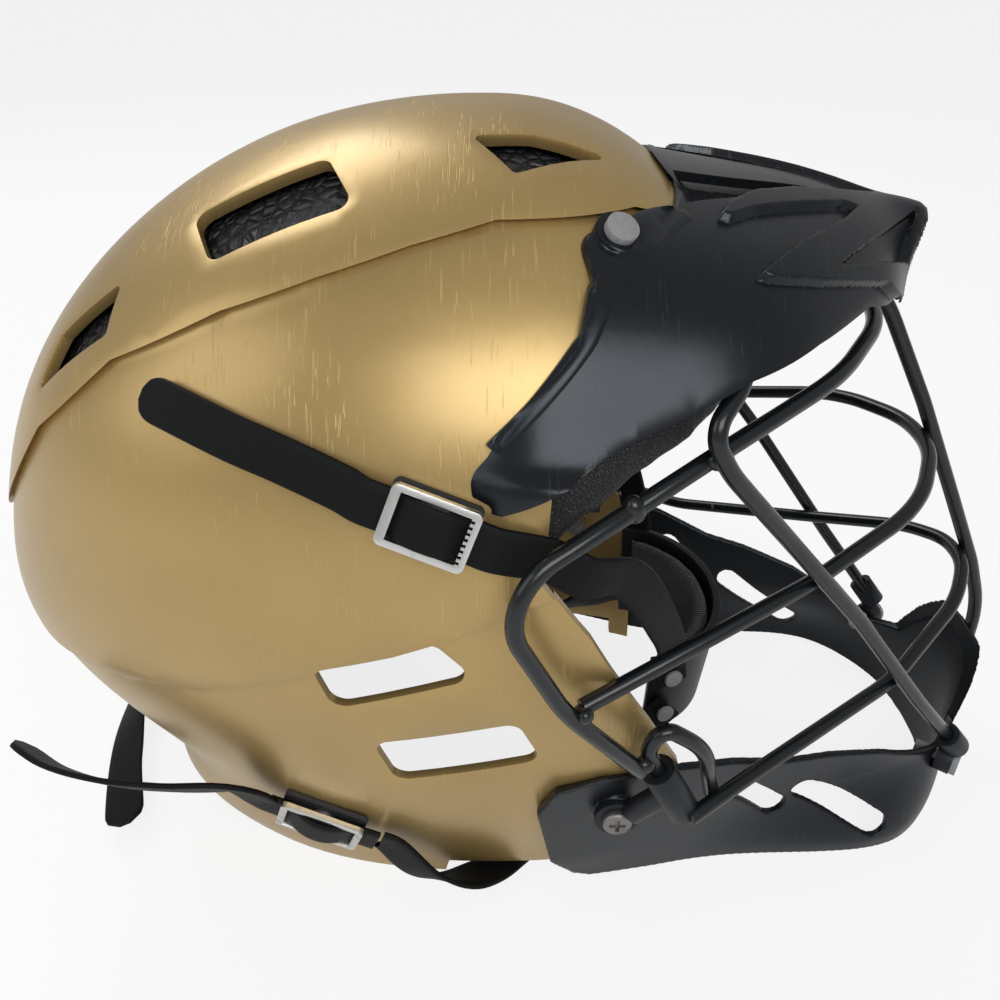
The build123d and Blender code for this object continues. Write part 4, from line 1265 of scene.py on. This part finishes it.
class HELMET_OT_straps(Operator):
    """Weaves the chin straps and their loose ends"""

    bl_idname = "helmet.straps"
    bl_label = "Straps"

    def execute(self, context):
        thick = sizes().strap_thickness
        narrow = sizes().upper_webbing
        wide = sizes().lower_webbing
        upper = upper_route()
        lower = lower_route()
        loop = threaded("lower_right_buckle", swivel_axis("right"), LOWER_LEAN, LOWER_BUCKLE)
        for side, flip in (("right", False), ("left", True)):
            node = "upper_" + side + "_strap"
            piece = webbing(node + "_web", upper, narrow, thick, flip, 12)
            settle(piece, "chin_strap", "webbing", node)
            node = "lower_" + side + "_strap"
            piece = webbing(node + "_web", lower, wide, thick, flip, 10, False)
            turn = Vector((1, -1 if flip else 1, 1))
            crossing(piece, node, lower[0][0] * turn, lower[-2][0] * turn)
            node = "lower_" + side + "_loop"
            rows = loop if flip else free_rows(LOWER_TAIL) + loop
            piece = webbing(node + "_web", rows, wide, thick, flip, 6, not flip)
            settle(piece, "lower_" + side + "_snap", "webbing", node)
        tail = left_tail_route()
        piece = webbing("lower_left_tail_web", tail[::-1], wide, thick, False, 12)
        crossing(piece, "lower_left_tail", tail[0][0], tail[3][0])
        return {"FINISHED"}


def glow_panel(name, place, target, width, depth, power):
    lamp = bpy.data.lights.new(name, "AREA")
    lamp.shape = "RECTANGLE"
    lamp.size = width
    lamp.size_y = depth
    lamp.energy = power
    holder = bpy.data.objects.new(name, lamp)
    bpy.context.collection.objects.link(holder)
    holder.location = place
    away = Vector(target) - Vector(place)
    holder.rotation_euler = away.to_track_quat("-Z", "Y").to_euler()


class HELMET_OT_stage(Operator):
    """Sets the floor, the soft lamps and the camera"""

    bl_idname = "helmet.stage"
    bl_label = "Stage"

    def execute(self, context):
        bpy.ops.object.select_all(action="DESELECT")
        bpy.ops.mesh.primitive_plane_add(size=FLOOR_WIDTH, location=(0, 0, 0))
        floor = context.active_object
        floor.name = "floor"
        bpy.ops.object.transform_apply(location=True, rotation=True, scale=True)
        paper = Finish("stage_paper", colours().floor[:], 0.9)
        shown = paper.node("ShaderNodeLightPath", output="Is Camera Ray") * FLOOR_SHOWN
        shown += paper.node("ShaderNodeLightPath", output="Is Glossy Ray") * FLOOR_MIRRORED
        shown += paper.node("ShaderNodeLightPath", output="Is Transmission Ray") * FLOOR_THROUGH
        white = {"Color": (1, 1, 1, 1), "Strength": 1.0}
        glow = paper.node("ShaderNodeEmission", None, white)
        plain = Level(paper, paper.shader.outputs[0])
        mixed = paper.node("ShaderNodeMixShader", None, {0: shown, 1: plain, 2: glow})
        paper.tree.links.new(mixed.socket, paper.tree.nodes["Material Output"].inputs[0])
        floor.data.materials.append(paper.material)
        world = bpy.data.worlds.new("studio")
        context.scene.world = world
        world.use_nodes = True
        sky = Tree(world.node_tree)
        ground = sky.tree.nodes["Background"]
        ground.inputs[0].default_value = (1, 1, 1, 1)
        level = sky.node("ShaderNodeLightPath", output="Is Camera Ray") * SKY_SHOWN + SKY_LIGHT
        sky.tree.links.new(level.socket, ground.inputs[1])
        for lamp in LAMPS:
            glow_panel(*lamp)
        lens = bpy.data.cameras.new("view")
        lens.lens = LENS
        lens.sensor_width = SENSOR
        lens.clip_start = 0.01
        eye = bpy.data.objects.new("view", lens)
        context.collection.objects.link(eye)
        eye.location = EYE
        eye.rotation_euler = (math.pi / 2 - LOOK_DOWN, 0, LOOK_ASIDE)
        context.scene.camera = eye
        context.scene.view_settings.view_transform = "Standard"
        return {"FINISHED"}


STEPS = (
    HELMET_OT_finishes, HELMET_OT_stage, HELMET_OT_shell, HELMET_OT_mouldings, HELMET_OT_visor,
    HELMET_OT_visor_edge, HELMET_OT_chin_guard, HELMET_OT_cage, HELMET_OT_welds, HELMET_OT_pads,
    HELMET_OT_straps,
)


class HELMET_PT_panel(Panel):
    """Lists the helmet's sizes, colours and steps"""

    bl_idname = "HELMET_PT_panel"
    bl_label = "Lacrosse Helmet"
    bl_space_type = "VIEW_3D"
    bl_region_type = "UI"
    bl_category = "Helmet"

    def draw(self, context):
        for group in (context.scene.helmet_sizes, context.scene.helmet_colours):
            for name in group.__annotations__:
                self.layout.prop(group, name)
        for step in STEPS:
            self.layout.operator(step.bl_idname)


def register():
    for kind in (HelmetSizes, HelmetColours, *STEPS, HELMET_PT_panel):
        bpy.utils.register_class(kind)
    bpy.types.Scene.helmet_sizes = PointerProperty(type=HelmetSizes)
    bpy.types.Scene.helmet_colours = PointerProperty(type=HelmetColours)


def unregister():
    del bpy.types.Scene.helmet_colours
    del bpy.types.Scene.helmet_sizes
    for kind in reversed((HelmetSizes, HelmetColours, *STEPS, HELMET_PT_panel)):
        bpy.utils.unregister_class(kind)


def main():
    register()
    for step in STEPS:
        group, name = step.bl_idname.split(".")
        getattr(getattr(bpy.ops, group), name)()


if __name__ == "__main__":
    main()
